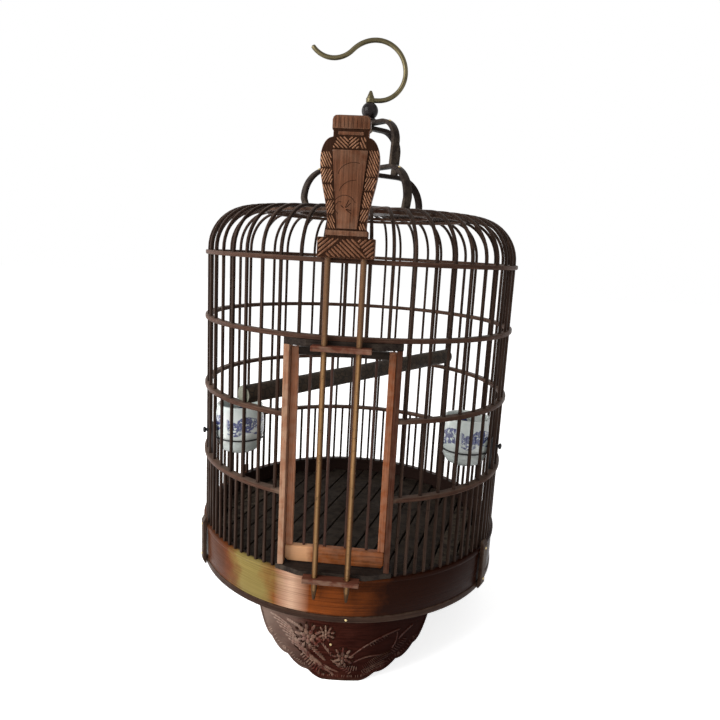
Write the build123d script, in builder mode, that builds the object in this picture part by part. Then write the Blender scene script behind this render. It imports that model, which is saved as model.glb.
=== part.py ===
"""Bamboo bird cage: a splint cage with a flat dome, a lift-up door and a vase-shaped door bolt.

Millimetres, +Z up. The origin is on the cage's axis at the plane of the feet, and the door faces -Y.
"""
from math import cos, radians, sin, sqrt, tan

from build123d import *
import os

os.makedirs("parts", exist_ok=True)

# Splints and hoops
bar_size = 3.0
bar_circle = 157.5
main_count = 52
door_head_count = 5
bend_runs = 4
inside_count = 26
hoop_width = 7.0
hoop_height = 4.0
hole_fit = 0.05
lower_spacing = 73.0
middle_spacing = 71.0
upper_spacing = 69.5
top_spacing = 63.5

# Base: band, its lip and rim, the floor, the bottom board, the feet and the cleats
foot_height = 60.0
rim_height = 6.0
band_height = 33.0
lip_height = 4.0
band_setback = 1.0
band_wall = 6.0
lip_proud = 0.2
lip_wall = 8.5
rim_setback = 0.2
rim_wall = 9.0
ledge_width = 8.0
ledge_height = 4.0
ledge_above_rim = 14.0
ledge_gap = 0.1
slat_thick = 4.0
slat_width = 18.0
slat_gap = 2.0
slat_angle = -13.5
slat_end_gap = 0.6
bearer_width = 12.0
bearer_share = 0.422
bottom_thick = 2.5
bottom_gap = 0.4
foot_angle = 4.5
foot_half_width = 79.0
foot_thick = 8.0
foot_back = 2.0
foot_toe = 11.0
lobe_side_shares = (1.0, 0.83, 0.63, 0.39)
lobe_height_shares = (1.0, 0.54, 0.324, 0.135)
lobe_swell = 2.6
cleat_angle = 61.5
cleat_width = 10.0
cleat_thick = 4.0
cleat_height = 51.0
cleat_bevel = 2.5

# Dome: the bent shoulder, the boss and two rings under the splints
dome_bend = 42.0
dome_rise_angle = 3.0
dome_straight = 2.0
boss_radius = 32.0
boss_height = 7.0
boss_crown = 2.0
boss_gap = 0.1
inner_ring_share = 0.443
outer_ring_share = 0.84
ring_width = 5.0
ring_height = 3.0

# Doorway: header, sill, grooved jambs and the two guide boards of the bolt
jamb_gap = 2.65
jamb_width = 5.0
jamb_depth = 16.0
header_overhang = 0.4
sill_overhang = 2.3
nose_overhang = 5.0
board_proud = 0.5
board_nose_depth = 9.5
board_thick = 6.0
header_depth = 12.5
sill_thick = 5.0
guide_overhang = 2.1
guide_thick = 4.5
guide_drop = 2.0

# Door: stiles with tongues, two rails and four thin bars, which slide up behind the hoops
door_hoop_gap = 0.93
door_thick = 5.5
door_gap = 0.3
groove_depth = 2.5
groove_width = 3.0
stile_width = 6.0
bottom_rail_height = 15.0
rail_corner = 2.5
rail_proud = 1.6
top_rail_height = 6.5
door_bar_size = 2.6
door_bar_count = 4
door_bar_share = 0.488
door_head_room = 3.0

# Bolt: the vase plaque and its two rods
plaque_gap = 0.6
plaque_thick = 11.4
plaque_seat = 0.1
plaque_height = 107.0
foot_block_half = 22.9
foot_block_height = 16.0
plinth_half = 15.8
plinth_rise = 1.5
plinth_height = 5.0
waist_half = 15.2
belly_half = 22.9
vase_belly_share = 0.692
neck_half = 13.6
vase_neck_share = 0.85
neck_run = 5.0
lip_half = 14.6
lip_corner = 3.5
rod_size = 5.2
rod_half_spacing = 14.4
rod_socket = 12.0
rod_fit = 0.1
rod_slide = 0.2
rod_tip = 9.0
rod_tip_size = 2.4
rod_drop = 19.5

# Perch, cups and the cups' holders
perch_size = 18.0
perch_sides = 20
perch_near_rise = 5.8
perch_far_rise = 13.0
perch_near_count = -5.2
perch_far_count = 20
perch_end_gap = 0.3
perch_step_gap = 0.2
perch_slot_depth = 2.6
perch_slot_fit = 0.1
cup_belly = 50.0
cup_foot = 28.0
cup_mouth = 46.0
cup_height = 50.0
cup_wall = 3.0
cup_base = 5.0
cup_rise = 1.0
cup_sides = 16
cup_level_shares = (0, 0.08, 0.3, 0.55, 0.8, 1)
bore_level_shares = (0, 0.25, 0.6, 1)
belly_share = 0.55
left_cup_count = -9.5
right_cup_count = 10.5
holder_height = 15.0
holder_wire = 2.4
holder_gap = 0.3
holder_stand = 0.43
arm_width = 8.0
arm_reach = 4.0
peg_height = 22.0
plate_width = 22.0
plate_thick = 2.2
plate_height = 30.0
plate_gap = 0.15
peg_size = 3.0
knob_size = 6.0
knob_length = 2.5
knob_stand = 1.0

# Hanger: two tiers of crossed bent bows, collar, bead, pin and hook
bow_thick = 4.0
bow_width = 9.0
bow_angle = 45.0
lower_bow_rise = 38.9
lower_bow_lean = 2.5
lower_bow_bend = 31.0
lower_toe_inset = 0.5
upper_bow_rise = 45.2
upper_bow_lean = 2.0
upper_bow_bend = 20.0
upper_toe_inset = 2.0
tenon_width = 5.0
collar_size = 15.0
collar_height = 3.0
bead_size = 17.0
bead_runs = 5
small_sides = 12
pin_size = 3.8
pin_fit = 0.1
pin_head_size = 8.0
pin_head_height = 3.0
finial_size = 7.5
finial_height = 5.0
hook_wire = 4.8
hook_sides = 6
hook_eye_wall = 2.6
hook_eye_fit = 0.1
hook_gap = 0.3
hook_run = 8.0
hook_lower_bend = 26.0
hook_upper_bend = 31.0
hook_crest_bend = 33.0
hook_crest_angle = 45.0
hook_tail_bend = 27.0
hook_tail_angle = 96.0

# Heights and places that follow from the sizes above
pitch = 360 / main_count
door_side = -90
gap_count = door_head_count + 1
wall_count = main_count - door_head_count
hoop_inside = bar_circle - hoop_width / 2
hoop_outside = bar_circle + hoop_width / 2
hoop_clear = hoop_inside * cos(radians(180 / inside_count))
lip_outside = hoop_outside + lip_proud
band_outside = hoop_outside - band_setback
rim_outside = hoop_outside - rim_setback
rim_z = foot_height
band_z = rim_z + rim_height
lip_z = band_z + band_height
wall_z = lip_z + lip_height
lower_hoop_z = wall_z + lower_spacing
middle_hoop_z = lower_hoop_z + middle_spacing
upper_hoop_z = middle_hoop_z + upper_spacing
top_hoop_z = upper_hoop_z + top_spacing
header_top = upper_hoop_z - hoop_height / 2
header_z = header_top - board_thick
sill_top = wall_z + sill_thick
shoulder_z = top_hoop_z + hoop_height / 2 + dome_straight
rise = radians(dome_rise_angle)
full_turn = radians(90 - dome_rise_angle)
wall_start = door_side + gap_count / 2 * pitch
head_start = door_side - (door_head_count - 1) / 2 * pitch
cut = 2 * hoop_outside
doorway_half = bar_circle * sin(radians(gap_count / 2 * pitch)) - bar_size - jamb_gap - jamb_width
jamb_front = hoop_inside
header_half = doorway_half + jamb_width + header_overhang
sill_half = doorway_half + jamb_width + sill_overhang
guide_half = foot_block_half + guide_overhang
board_nose_half = guide_half + nose_overhang
board_front = hoop_outside + board_proud
board_shoulder = board_front - board_nose_depth
header_back = board_front - header_depth
plaque_back = bar_circle + bar_size / 2 + plaque_gap
guide_depth = plaque_back + plaque_thick - board_front
door_half = doorway_half - door_gap
door_front = sqrt(hoop_clear**2 - door_half**2) - door_hoop_gap


def splint_z(radius):
    """Height of a dome splint's centre line at a radius inside the shoulder."""
    bend_end = bar_circle - dome_bend * (1 - cos(full_turn))
    return shoulder_z + dome_bend * sin(full_turn) + (bend_end - radius) * tan(rise)


def save(piece, name):
    """Label a finished piece and write it."""
    piece.part.label = name
    export_step(piece.part, f"parts/{name}.step")


def wall_places(radius=0, first=wall_start, count=wall_count):
    """Places of the main splints that run from the base to the boss."""
    return PolarLocations(radius, count, first, (count - 1) * pitch, endpoint=True)


def head_places(radius=0):
    """Places of the splints over the doorway."""
    return wall_places(radius, head_start, door_head_count)


def splint(bottom):
    """One bent splint in the XZ plane, from its foot to the boss, bent in a few short runs."""
    turns = [full_turn * run / bend_runs for run in range(bend_runs + 1)]
    bend = [
        (bar_circle - dome_bend * (1 - cos(turn)), shoulder_z + dome_bend * sin(turn)) for turn in turns
    ]
    with BuildPart() as one:
        with BuildLine(Plane.XZ) as path:
            Polyline((bar_circle, bottom), *bend, (boss_radius, splint_z(boss_radius)))
        with BuildSketch(Plane.XY.offset(bottom)):
            with Locations((bar_circle, 0)):
                Rectangle(bar_size, bar_size)
        sweep(path=path.wire(), transition=Transition.RIGHT)
    return one.part


# Main splints, from the lip of the band over the shoulder to the boss
wall_splint = splint(wall_z)
with BuildPart() as wall_bars:
    with wall_places():
        add(wall_splint)
save(wall_bars, "wall_bars")

# Splints over the doorway start on the header
head_splint = splint(header_top)
with BuildPart() as door_head_bars:
    with head_places():
        add(head_splint)
save(door_head_bars, "door_head_bars")

# Short splints between the main ones, from the lip to the lowest hoop
with BuildPart() as short_bars:
    with BuildSketch(Plane.XY.offset(wall_z)):
        with wall_places(bar_circle, wall_start + pitch / 2, wall_count - 1):
            Rectangle(bar_size, bar_size)
    extrude(amount=lower_hoop_z - hoop_height / 2 - wall_z)
save(short_bars, "short_bars")


def hoop(z, over_door):
    """A drilled hoop; one that doesn't pass over the doorway stops at the jambs."""
    hole = bar_size + 2 * hole_fit
    with BuildPart() as ring:
        with BuildSketch(Plane.XY.offset(z - hoop_height / 2)):
            RegularPolygon(hoop_outside, main_count, rotation=pitch / 2)
            RegularPolygon(hoop_inside, inside_count, rotation=pitch / 2, mode=Mode.SUBTRACT)
            with wall_places(bar_circle):
                Rectangle(hole, hole, mode=Mode.SUBTRACT)
            if over_door:
                with head_places(bar_circle):
                    Rectangle(hole, hole, mode=Mode.SUBTRACT)
            else:
                with Locations((0, -hoop_outside)):
                    Rectangle(2 * (doorway_half + jamb_width), hoop_outside, mode=Mode.SUBTRACT)
        extrude(amount=hoop_height)
    return ring


for hoop_name, hoop_z, over_door in (
    ("top_hoop", top_hoop_z, True),
    ("upper_hoop", upper_hoop_z, True),
    ("middle_hoop", middle_hoop_z, False),
    ("lower_hoop", lower_hoop_z, False),
):
    save(hoop(hoop_z, over_door), hoop_name)


def strip_ring(z, outside, width, height, sides=main_count):
    """A flat strip bent and joined into a ring."""
    with BuildPart() as ring:
        with BuildSketch(Plane.XY.offset(z)):
            RegularPolygon(outside, sides, rotation=pitch / 2)
            RegularPolygon(outside - width, inside_count, rotation=pitch / 2, mode=Mode.SUBTRACT)
        extrude(amount=height)
    return ring


# Base band, a wide bent strip, with the lip on it and the rim under it
with BuildPart() as base_band:
    with BuildSketch(Plane.XY.offset(band_z)):
        Circle(band_outside)
        Circle(band_outside - band_wall, mode=Mode.SUBTRACT)
    extrude(amount=band_height)
save(base_band, "base_band")
save(strip_ring(lip_z, lip_outside, lip_wall, lip_height), "band_lip")
save(strip_ring(rim_z, rim_outside, rim_wall, rim_height), "base_rim")

# Bottom: a round board that lies on the rim inside the band and closes the cage
with BuildPart() as bottom_board:
    with BuildSketch(Plane.XY.offset(band_z)):
        RegularPolygon(band_outside - band_wall - bottom_gap, main_count, rotation=pitch / 2)
    extrude(amount=bottom_thick)
save(bottom_board, "bottom_board")

# Floor: a ledge inside the band, slats across it and two bearers under the slats
ledge_z = band_z + ledge_above_rim
ledge_outside = band_outside - band_wall - ledge_gap
floor_z = ledge_z + ledge_height
save(strip_ring(ledge_z, ledge_outside, ledge_width, ledge_height, inside_count), "floor_ledge")

slat_pitch = slat_width + slat_gap
slat_reach = ledge_outside - slat_end_gap
slat_count = int(2 * slat_reach / slat_pitch)
with BuildPart() as floor_slats:
    with BuildSketch(Plane.XY.offset(floor_z).rotated((0, 0, slat_angle))):
        for index in range(slat_count):
            middle = (index - (slat_count - 1) / 2) * slat_pitch
            edge = abs(middle) + slat_width / 2
            with Locations((middle, 0)):
                Rectangle(slat_width, 2 * sqrt(slat_reach**2 - edge**2))
    extrude(amount=slat_thick)
save(floor_slats, "floor_slats")

bearer_spacing = 2 * bearer_share * ledge_outside
bearer_reach = (ledge_outside - ledge_width) * cos(radians(180 / inside_count)) - slat_end_gap
bearer_edge = (bearer_spacing + bearer_width) / 2
with BuildPart() as floor_bearers:
    with BuildSketch(Plane.XY.offset(ledge_z).rotated((0, 0, slat_angle))):
        with GridLocations(0, bearer_spacing, 1, 2):
            Rectangle(2 * sqrt(bearer_reach**2 - bearer_edge**2), bearer_width)
    extrude(amount=ledge_height)
save(floor_bearers, "floor_bearers")


def lobe(start, end):
    """An arc that swells outward over the chord from start to end."""
    chord = sqrt((start[0] - end[0]) ** 2 + (start[1] - end[1]) ** 2)
    radius = (chord**2 / 4 + lobe_swell**2) / (2 * lobe_swell)
    return RadiusArc(start, end, radius if start[0] > 0 else -radius)


def foot(turn):
    """One foot: a scalloped panel under the rim, bent to the rim's curve."""
    sides = [foot_half_width * share for share in lobe_side_shares] + [foot_toe]
    heights = [foot_height * share for share in lobe_height_shares] + [0]
    outside = rim_outside * cos(radians(pitch / 2)) - foot_back
    with BuildPart() as panel:
        with BuildSketch(Plane.XZ.rotated((0, 0, turn))):
            with BuildLine():
                Line((-foot_half_width, foot_height), (foot_half_width, foot_height))
                for sign in (1, -1):
                    for index in range(len(sides) - 1):
                        upper_end = (sign * sides[index], heights[index])
                        lower_end = (sign * sides[index + 1], heights[index + 1])
                        lobe(upper_end, lower_end)
                Line((foot_toe, 0), (-foot_toe, 0))
            make_face()
        extrude(amount=hoop_outside)
        with BuildSketch():
            Circle(outside)
            Circle(outside - foot_thick, mode=Mode.SUBTRACT)
        extrude(amount=foot_height, mode=Mode.INTERSECT)
    return panel


for foot_name, foot_place in (("front_foot", 0), ("right_foot", 120), ("left_foot", 240)):
    save(foot(foot_angle + foot_place), foot_name)


def radial_plane(turn):
    """A standing plane whose X runs outward at a turn from the door side."""
    angle = radians(turn)
    return Plane((0, 0, 0), x_dir=(sin(angle), -cos(angle), 0), z_dir=(-cos(angle), -sin(angle), 0))


def cleat(turn):
    """An upright cleat on the outside of the band, bevelled at both ends."""
    face = lip_outside + cleat_thick
    bevel_rise = 2 * cleat_bevel
    with BuildPart() as strip:
        with BuildSketch(radial_plane(turn)):
            with BuildLine():
                Polyline(
                    (lip_outside, rim_z),
                    (face - cleat_bevel, rim_z),
                    (face, rim_z + bevel_rise),
                    (face, rim_z + cleat_height - bevel_rise),
                    (face - cleat_bevel, rim_z + cleat_height),
                    (lip_outside, rim_z + cleat_height),
                    close=True,
                )
            make_face()
        extrude(amount=cleat_width / 2, both=True)
    return strip


for cleat_name, cleat_place in (
    ("right_front_cleat", cleat_angle),
    ("right_back_cleat", 180 - cleat_angle),
    ("left_back_cleat", 180 + cleat_angle),
    ("left_front_cleat", -cleat_angle),
):
    save(cleat(cleat_place), cleat_name)

# Dome: the boss that the splints meet, and two rings under them
boss_side = boss_radius - boss_gap
with BuildPart() as top_boss:
    with BuildSketch(Plane.XY.offset(splint_z(boss_radius) - boss_height / 2)):
        RegularPolygon(boss_side, main_count, rotation=pitch / 2)
    extrude(amount=boss_height)
    chamfer(top_boss.faces().sort_by(Axis.Z)[-1].edges(), boss_crown)
save(top_boss, "top_boss")


def dome_ring(radius):
    """A ring that the splints rest on, at its middle radius."""
    outside = radius + ring_width / 2
    top = splint_z(outside) - bar_size / 2 / cos(rise)
    return strip_ring(top - ring_height, outside, ring_width, ring_height, inside_count)


flat_run = bar_circle - dome_bend * (1 - cos(full_turn)) - boss_radius
inner_ring_radius = boss_radius + inner_ring_share * flat_run
outer_ring_radius = boss_radius + outer_ring_share * flat_run
save(dome_ring(inner_ring_radius), "dome_ring_inner")
save(dome_ring(outer_ring_radius), "dome_ring_outer")


def nosed_board(z, half, back, height):
    """A board across the doorway whose front corners are cut to a narrower nose."""
    with BuildPart() as board:
        with BuildSketch(Plane.XY.offset(z)):
            with BuildLine():
                Polyline(
                    (-half, -back),
                    (half, -back),
                    (half, -board_shoulder),
                    (board_nose_half, -board_front),
                    (-board_nose_half, -board_front),
                    (-half, -board_shoulder),
                    close=True,
                )
            make_face()
        extrude(amount=height)
    return board


save(nosed_board(header_z, header_half, header_back, board_thick), "door_header")
save(nosed_board(wall_z, sill_half, jamb_front - jamb_depth, sill_thick), "door_sill")

# Jambs, each with a groove for the door's tongue
tongue_y = door_front - door_thick / 2
for jamb_name, side in (("left_jamb", -1), ("right_jamb", 1)):
    with BuildPart() as jamb:
        with BuildSketch(Plane.XY.offset(sill_top)):
            with Locations((side * (doorway_half + jamb_width / 2), -jamb_front + jamb_depth / 2)):
                Rectangle(jamb_width, jamb_depth)
            with Locations((side * doorway_half, -tongue_y)):
                Rectangle(2 * groove_depth, groove_width, mode=Mode.SUBTRACT)
        extrude(amount=header_z - sill_top)
    save(jamb, jamb_name)

# Guide boards on the noses of the header and the sill, bored for the bolt's rods
rod_y = plaque_back + plaque_thick / 2
for guide_name, guide_z in (("upper_guide", header_z), ("lower_guide", wall_z)):
    with BuildPart() as guide:
        with BuildSketch(Plane.XY.offset(guide_z - guide_drop)):
            with Locations((0, -board_front - guide_depth / 2)):
                Rectangle(2 * guide_half, guide_depth)
            with Locations((0, -rod_y)):
                with GridLocations(2 * rod_half_spacing, 0, 2, 1):
                    RegularPolygon(rod_size / 2 + rod_slide, small_sides, mode=Mode.SUBTRACT)
        extrude(amount=guide_thick)
    save(guide, guide_name)

# Door: two tongued stiles, two rails and thin bars
door_z = sill_top + door_gap
door_top = header_z - door_head_room
rail_half = door_half - stile_width
door_bar_spacing = door_bar_share * rail_half
bar_z = door_z + bottom_rail_height
top_rail_z = door_top - top_rail_height
tongue_width = groove_width - 2 * door_gap
tongue_reach = groove_depth
for stile_name, side in (("door_left_stile", -1), ("door_right_stile", 1)):
    with BuildPart() as stile:
        with BuildSketch(Plane.XY.offset(bar_z)):
            with Locations((side * (door_half - stile_width / 2), -tongue_y)):
                Rectangle(stile_width, door_thick)
            with Locations((side * (door_half + tongue_reach / 2 - door_gap / 2), -tongue_y)):
                Rectangle(tongue_reach + door_gap, tongue_width)
        extrude(amount=door_top - bar_z)
    save(stile, stile_name)

with BuildPart() as door_bottom_rail:
    with BuildSketch(Plane.XZ.offset(door_front - door_thick)):
        with Locations((0, door_z + bottom_rail_height / 2)):
            Rectangle(2 * door_half, bottom_rail_height)
    extrude(amount=door_thick + rail_proud)
    lower_ends = door_bottom_rail.edges().filter_by(Axis.Y).group_by(Axis.Z)[0]
    chamfer(lower_ends, rail_corner)
save(door_bottom_rail, "door_bottom_rail")

with BuildPart() as door_top_rail:
    with BuildSketch(Plane.XY.offset(top_rail_z)):
        with Locations((0, -tongue_y)):
            Rectangle(2 * rail_half, door_thick)
    extrude(amount=top_rail_height)
save(door_top_rail, "door_top_rail")

with BuildPart() as door_bars:
    with BuildSketch(Plane.XY.offset(bar_z)):
        with Locations((0, -tongue_y)):
            with GridLocations(door_bar_spacing, 0, door_bar_count, 1):
                Rectangle(door_bar_size, door_bar_size)
    extrude(amount=top_rail_z - bar_z)
save(door_bars, "door_bars")

# Bolt: the plaque is a flat vase on a foot block, with sockets for the rods
plaque_z = top_hoop_z + hoop_height / 2 + plaque_seat
plinth_z = plaque_z + foot_block_height + plinth_rise
waist_z = plinth_z + plinth_height
belly_z = plaque_z + vase_belly_share * plaque_height
neck_z = plaque_z + vase_neck_share * plaque_height
mouth_z = neck_z + neck_run
crown_z = plaque_z + plaque_height
with BuildPart() as vase_plaque:
    with BuildSketch(Plane.XZ.offset(plaque_back)):
        with BuildLine():
            for side in (1, -1):
                Polyline(
                    (0, plaque_z),
                    (side * foot_block_half, plaque_z),
                    (side * foot_block_half, plaque_z + foot_block_height),
                    (side * plinth_half, plaque_z + foot_block_height),
                    (side * plinth_half, waist_z),
                    (side * waist_half, waist_z),
                )
                Spline(
                    (side * waist_half, waist_z),
                    (side * belly_half, belly_z),
                    tangents=((0, 1), (0, 1)),
                )
                Spline(
                    (side * belly_half, belly_z),
                    (side * neck_half, neck_z),
                    tangents=((0, 1), (-side, 0)),
                )
                Polyline(
                    (side * neck_half, neck_z),
                    (side * neck_half, mouth_z),
                    (side * lip_half, mouth_z),
                    (side * lip_half, crown_z - lip_corner),
                )
                RadiusArc(
                    (side * lip_half, crown_z - lip_corner),
                    (side * (lip_half - lip_corner), crown_z),
                    -side * lip_corner,
                )
                Line((side * (lip_half - lip_corner), crown_z), (0, crown_z))
        make_face()
    extrude(amount=plaque_thick)
    with BuildSketch(Plane.XY.offset(plaque_z)):
        with Locations((0, -rod_y)):
            with GridLocations(2 * rod_half_spacing, 0, 2, 1):
                RegularPolygon(rod_size / 2 + rod_fit, small_sides)
    extrude(amount=rod_socket, mode=Mode.SUBTRACT)
save(vase_plaque, "vase_plaque")

rod_bottom = wall_z - rod_drop
for rod_name, side in (("left_rod", -1), ("right_rod", 1)):
    with BuildPart() as rod:
        with BuildSketch(Plane.XY.offset(rod_bottom + rod_tip)):
            with Locations((side * rod_half_spacing, -rod_y)):
                RegularPolygon(rod_size / 2, small_sides)
        extrude(amount=plaque_z + rod_socket - rod_bottom - rod_tip)
        with BuildSketch(Plane.XY.offset(rod_bottom + rod_tip)):
            with Locations((side * rod_half_spacing, -rod_y)):
                RegularPolygon(rod_size / 2, small_sides)
        with BuildSketch(Plane.XY.offset(rod_bottom)):
            with Locations((side * rod_half_spacing, -rod_y)):
                RegularPolygon(rod_tip_size / 2, small_sides)
        loft()
    save(rod, rod_name)


def wall_point(place, radius, z):
    """A point at a radius, in the direction of a splint counted from the door's middle."""
    angle = radians(place * pitch)
    return Vector(radius * sin(angle), -radius * cos(angle), z)


# Perch: stepped over the middle hoop at the near end, slotted over a splint at the far end
hoop_top = middle_hoop_z + hoop_height / 2
perch_reach = bar_circle - bar_size / 2 - perch_end_gap
near_end = wall_point(perch_near_count, perch_reach, hoop_top + perch_near_rise)
far_end = wall_point(perch_far_count, perch_reach + perch_slot_depth, hoop_top + perch_far_rise)
perch_step = hoop_clear - perch_step_gap
perch_axis = far_end - near_end
with BuildPart() as perch:
    with BuildSketch(Plane(near_end, z_dir=perch_axis)):
        RegularPolygon(perch_size / 2, perch_sides)
    extrude(amount=perch_axis.length)
    with BuildSketch(Plane.XY.offset(middle_hoop_z - perch_size)):
        Circle(cut)
        Circle(perch_step, mode=Mode.SUBTRACT)
    extrude(amount=perch_size + hoop_height / 2, mode=Mode.SUBTRACT)
    with BuildSketch(Plane.XY.offset(hoop_top)):
        with Locations(Location((far_end.X, far_end.Y, 0), (0, 0, perch_far_count * pitch + door_side))):
            slot_length = 2 * (perch_slot_depth + perch_slot_fit)
            Rectangle(slot_length, bar_size + 2 * perch_slot_fit)
    extrude(amount=2 * perch_size, mode=Mode.SUBTRACT)
save(perch, "perch")

# Cups: footed bowls, each dropped into a ring on a plate that stands on the lower hoop
cup_z = lower_hoop_z + cup_rise
cup_belly_z = cup_height * belly_share
foot_radius = cup_foot / 2
belly_radius = cup_belly / 2
mouth_radius = cup_mouth / 2


def cup_outline(z):
    """Outside radius of a cup at a height over its base."""
    if z < cup_belly_z:
        fall = (cup_belly_z - z) / cup_belly_z
        return foot_radius + (belly_radius - foot_radius) * sqrt(1 - fall**2)
    climb = (z - cup_belly_z) / (cup_height - cup_belly_z)
    return belly_radius - (belly_radius - mouth_radius) * climb**2


def level_stack(radius_at, levels, sides):
    """A stack of many-sided levels, joined by flat facets."""
    with BuildPart() as stack:
        for level, radius in zip(levels, [radius_at(level) for level in levels]):
            with BuildSketch(Plane.XY.offset(level)):
                RegularPolygon(radius, sides)
        loft(ruled=True)
    return stack.part


def cup_bore(z):
    """Inside radius of a cup at a height over its base."""
    return cup_outline(z) - cup_wall


cup_levels = [cup_height * share for share in cup_level_shares]
bore_levels = [cup_base + (cup_height - cup_base) * share for share in bore_level_shares]
cup_body = level_stack(cup_outline, cup_levels, cup_sides)
cup_hollow = level_stack(cup_bore, bore_levels, cup_sides)
lower_hoop_top = lower_hoop_z + hoop_height / 2
bars_inside = (bar_circle - bar_size / 2) * cos(radians(pitch / 2))
plate_reach = bars_inside - plate_gap
ring_top = holder_height + holder_wire
ring_inside = cup_outline(ring_top) + holder_gap
ring_outside = ring_inside + holder_wire
cup_circle = plate_reach - plate_thick - holder_stand - ring_outside
for cup_name, gap in (("left_cup", left_cup_count), ("right_cup", right_cup_count)):
    turn = gap * pitch
    place = Location(wall_point(gap, cup_circle, cup_z), (0, 0, turn))
    with BuildPart() as cup:
        with Locations(place):
            add(cup_body)
            add(cup_hollow, mode=Mode.SUBTRACT)
    save(cup, cup_name)

    standing = radial_plane(turn)
    with BuildPart() as holder:
        with BuildSketch(Plane.XY.offset(cup_z + holder_height)):
            with Locations(Location((place.position.X, place.position.Y, 0), (0, 0, turn))):
                RegularPolygon(ring_outside, cup_sides)
                RegularPolygon(ring_inside, cup_sides, mode=Mode.SUBTRACT)
        extrude(amount=holder_wire)
        with BuildSketch(standing):
            with Locations((plate_reach - plate_thick / 2, lower_hoop_top + plate_height / 2)):
                Rectangle(plate_thick, plate_height)
        extrude(amount=plate_width / 2, both=True)
        with BuildSketch(standing):
            with Locations((plate_reach - arm_reach / 2, cup_z + holder_height + holder_wire / 2)):
                Rectangle(arm_reach, holder_wire)
        extrude(amount=arm_width / 2, both=True)
        knob_face = bar_circle + bar_size / 2 + knob_stand
        with BuildSketch(standing):
            with Locations(((plate_reach + knob_face) / 2, lower_hoop_top + peg_height)):
                Rectangle(knob_face - plate_reach, peg_size)
        extrude(amount=peg_size / 2, both=True)
        with BuildSketch(standing):
            with Locations((knob_face + knob_length / 2, lower_hoop_top + peg_height)):
                Rectangle(knob_length, knob_size)
        extrude(amount=knob_size / 2, both=True)
    save(holder, cup_name + "_holder")


def dome_seat(radius):
    """Top face of the splints at a radius."""
    return splint_z(radius) + bar_size / 2 / cos(rise)


def bow(turn, top, half, bend, toe, seat, tenon_foot, bored):
    """A strip bent into an arch across the dome, its legs cut to the face they stand on."""
    middle = top - bow_thick / 2
    steps = [radians(90) * run / bend_runs for run in range(bend_runs + 1)]
    side_points = [(half - bend * (1 - cos(step)), middle - bend * (1 - sin(step))) for step in steps]
    leg = [(toe, seat(toe) - bow_thick)] + side_points
    mirrored = [(-x, z) for x, z in reversed(leg)]
    with BuildPart() as arch:
        with BuildSketch(radial_plane(turn)):
            with BuildLine():
                route = Polyline(*leg, *mirrored)
                offset(route, amount=bow_thick / 2, kind=Kind.INTERSECTION, mode=Mode.REPLACE)
            make_face()
            with BuildLine():
                Polyline(
                    (-half, 0), (-half * 2, 0), (-half * 2, seat(half * 2)), (0, seat(0)),
                    (half * 2, seat(half * 2)), (half * 2, 0), close=True,
                )
            make_face(mode=Mode.SUBTRACT)
        extrude(amount=bow_width / 2, both=True)
        if tenon_foot:
            with BuildSketch(radial_plane(turn)):
                for side in (1, -1):
                    with Locations((side * toe, (tenon_foot + seat(toe)) / 2)):
                        Rectangle(bow_thick, seat(toe) - tenon_foot)
            extrude(amount=tenon_width / 2, both=True)
        if bored:
            with BuildSketch(Plane.XY.offset(middle - bow_thick)):
                RegularPolygon(pin_size / 2 + pin_fit, small_sides)
            extrude(amount=2 * bow_thick, mode=Mode.SUBTRACT)
    return arch


# Hanger: two crossed arches on the dome, turned back by one splint, and two smaller ones on them
tenon_z = splint_z(inner_ring_radius + ring_width / 2) - bar_size / 2 / cos(rise)
lower_bow_top = splint_z(boss_radius) + lower_bow_rise
lower_bow_toe = inner_ring_radius - lower_toe_inset
lower_bow_half = lower_bow_toe + lower_bow_lean
upper_bow_toe = lower_bow_half - lower_bow_bend - upper_toe_inset
upper_bow_half = upper_bow_toe + upper_bow_lean
crossing_top = lower_bow_top + bow_thick
for letter, turn, lower_top in (("a", bow_angle, crossing_top), ("b", -bow_angle, lower_bow_top)):
    save(
        bow(turn - pitch, lower_top, lower_bow_half, lower_bow_bend, lower_bow_toe,
            dome_seat, tenon_z, False),
        "hanger_lower_bow_" + letter,
    )
    save(
        bow(turn, lower_top + upper_bow_rise, upper_bow_half, upper_bow_bend, upper_bow_toe,
            lambda radius: lower_top, 0, True),
        "hanger_upper_bow_" + letter,
    )
hanger_z = crossing_top + upper_bow_rise

# Swivel: collar, bead and pin, with the hook's eye between the bead and the finial
bead_z = hanger_z + collar_height
bore = pin_size / 2 + pin_fit
with BuildPart() as hanger_collar:
    with BuildSketch(Plane.XY.offset(hanger_z)):
        RegularPolygon(collar_size / 2, small_sides)
        RegularPolygon(bore, small_sides, mode=Mode.SUBTRACT)
    extrude(amount=collar_height)
save(hanger_collar, "hanger_collar")

bead_radius = bead_size / 2
bead_half = sqrt(bead_radius**2 - (bead_radius / 2) ** 2)
bead_ball = level_stack(
    lambda z: sqrt(bead_radius**2 - (z - bead_half) ** 2),
    [bead_half * 2 * run / bead_runs for run in range(bead_runs + 1)],
    small_sides,
)
with BuildPart() as swivel_bead:
    with Locations((0, 0, bead_z)):
        add(bead_ball)
    with BuildSketch(Plane.XY.offset(bead_z)):
        RegularPolygon(bore, small_sides)
    extrude(amount=2 * bead_half, mode=Mode.SUBTRACT)
save(swivel_bead, "swivel_bead")

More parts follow.
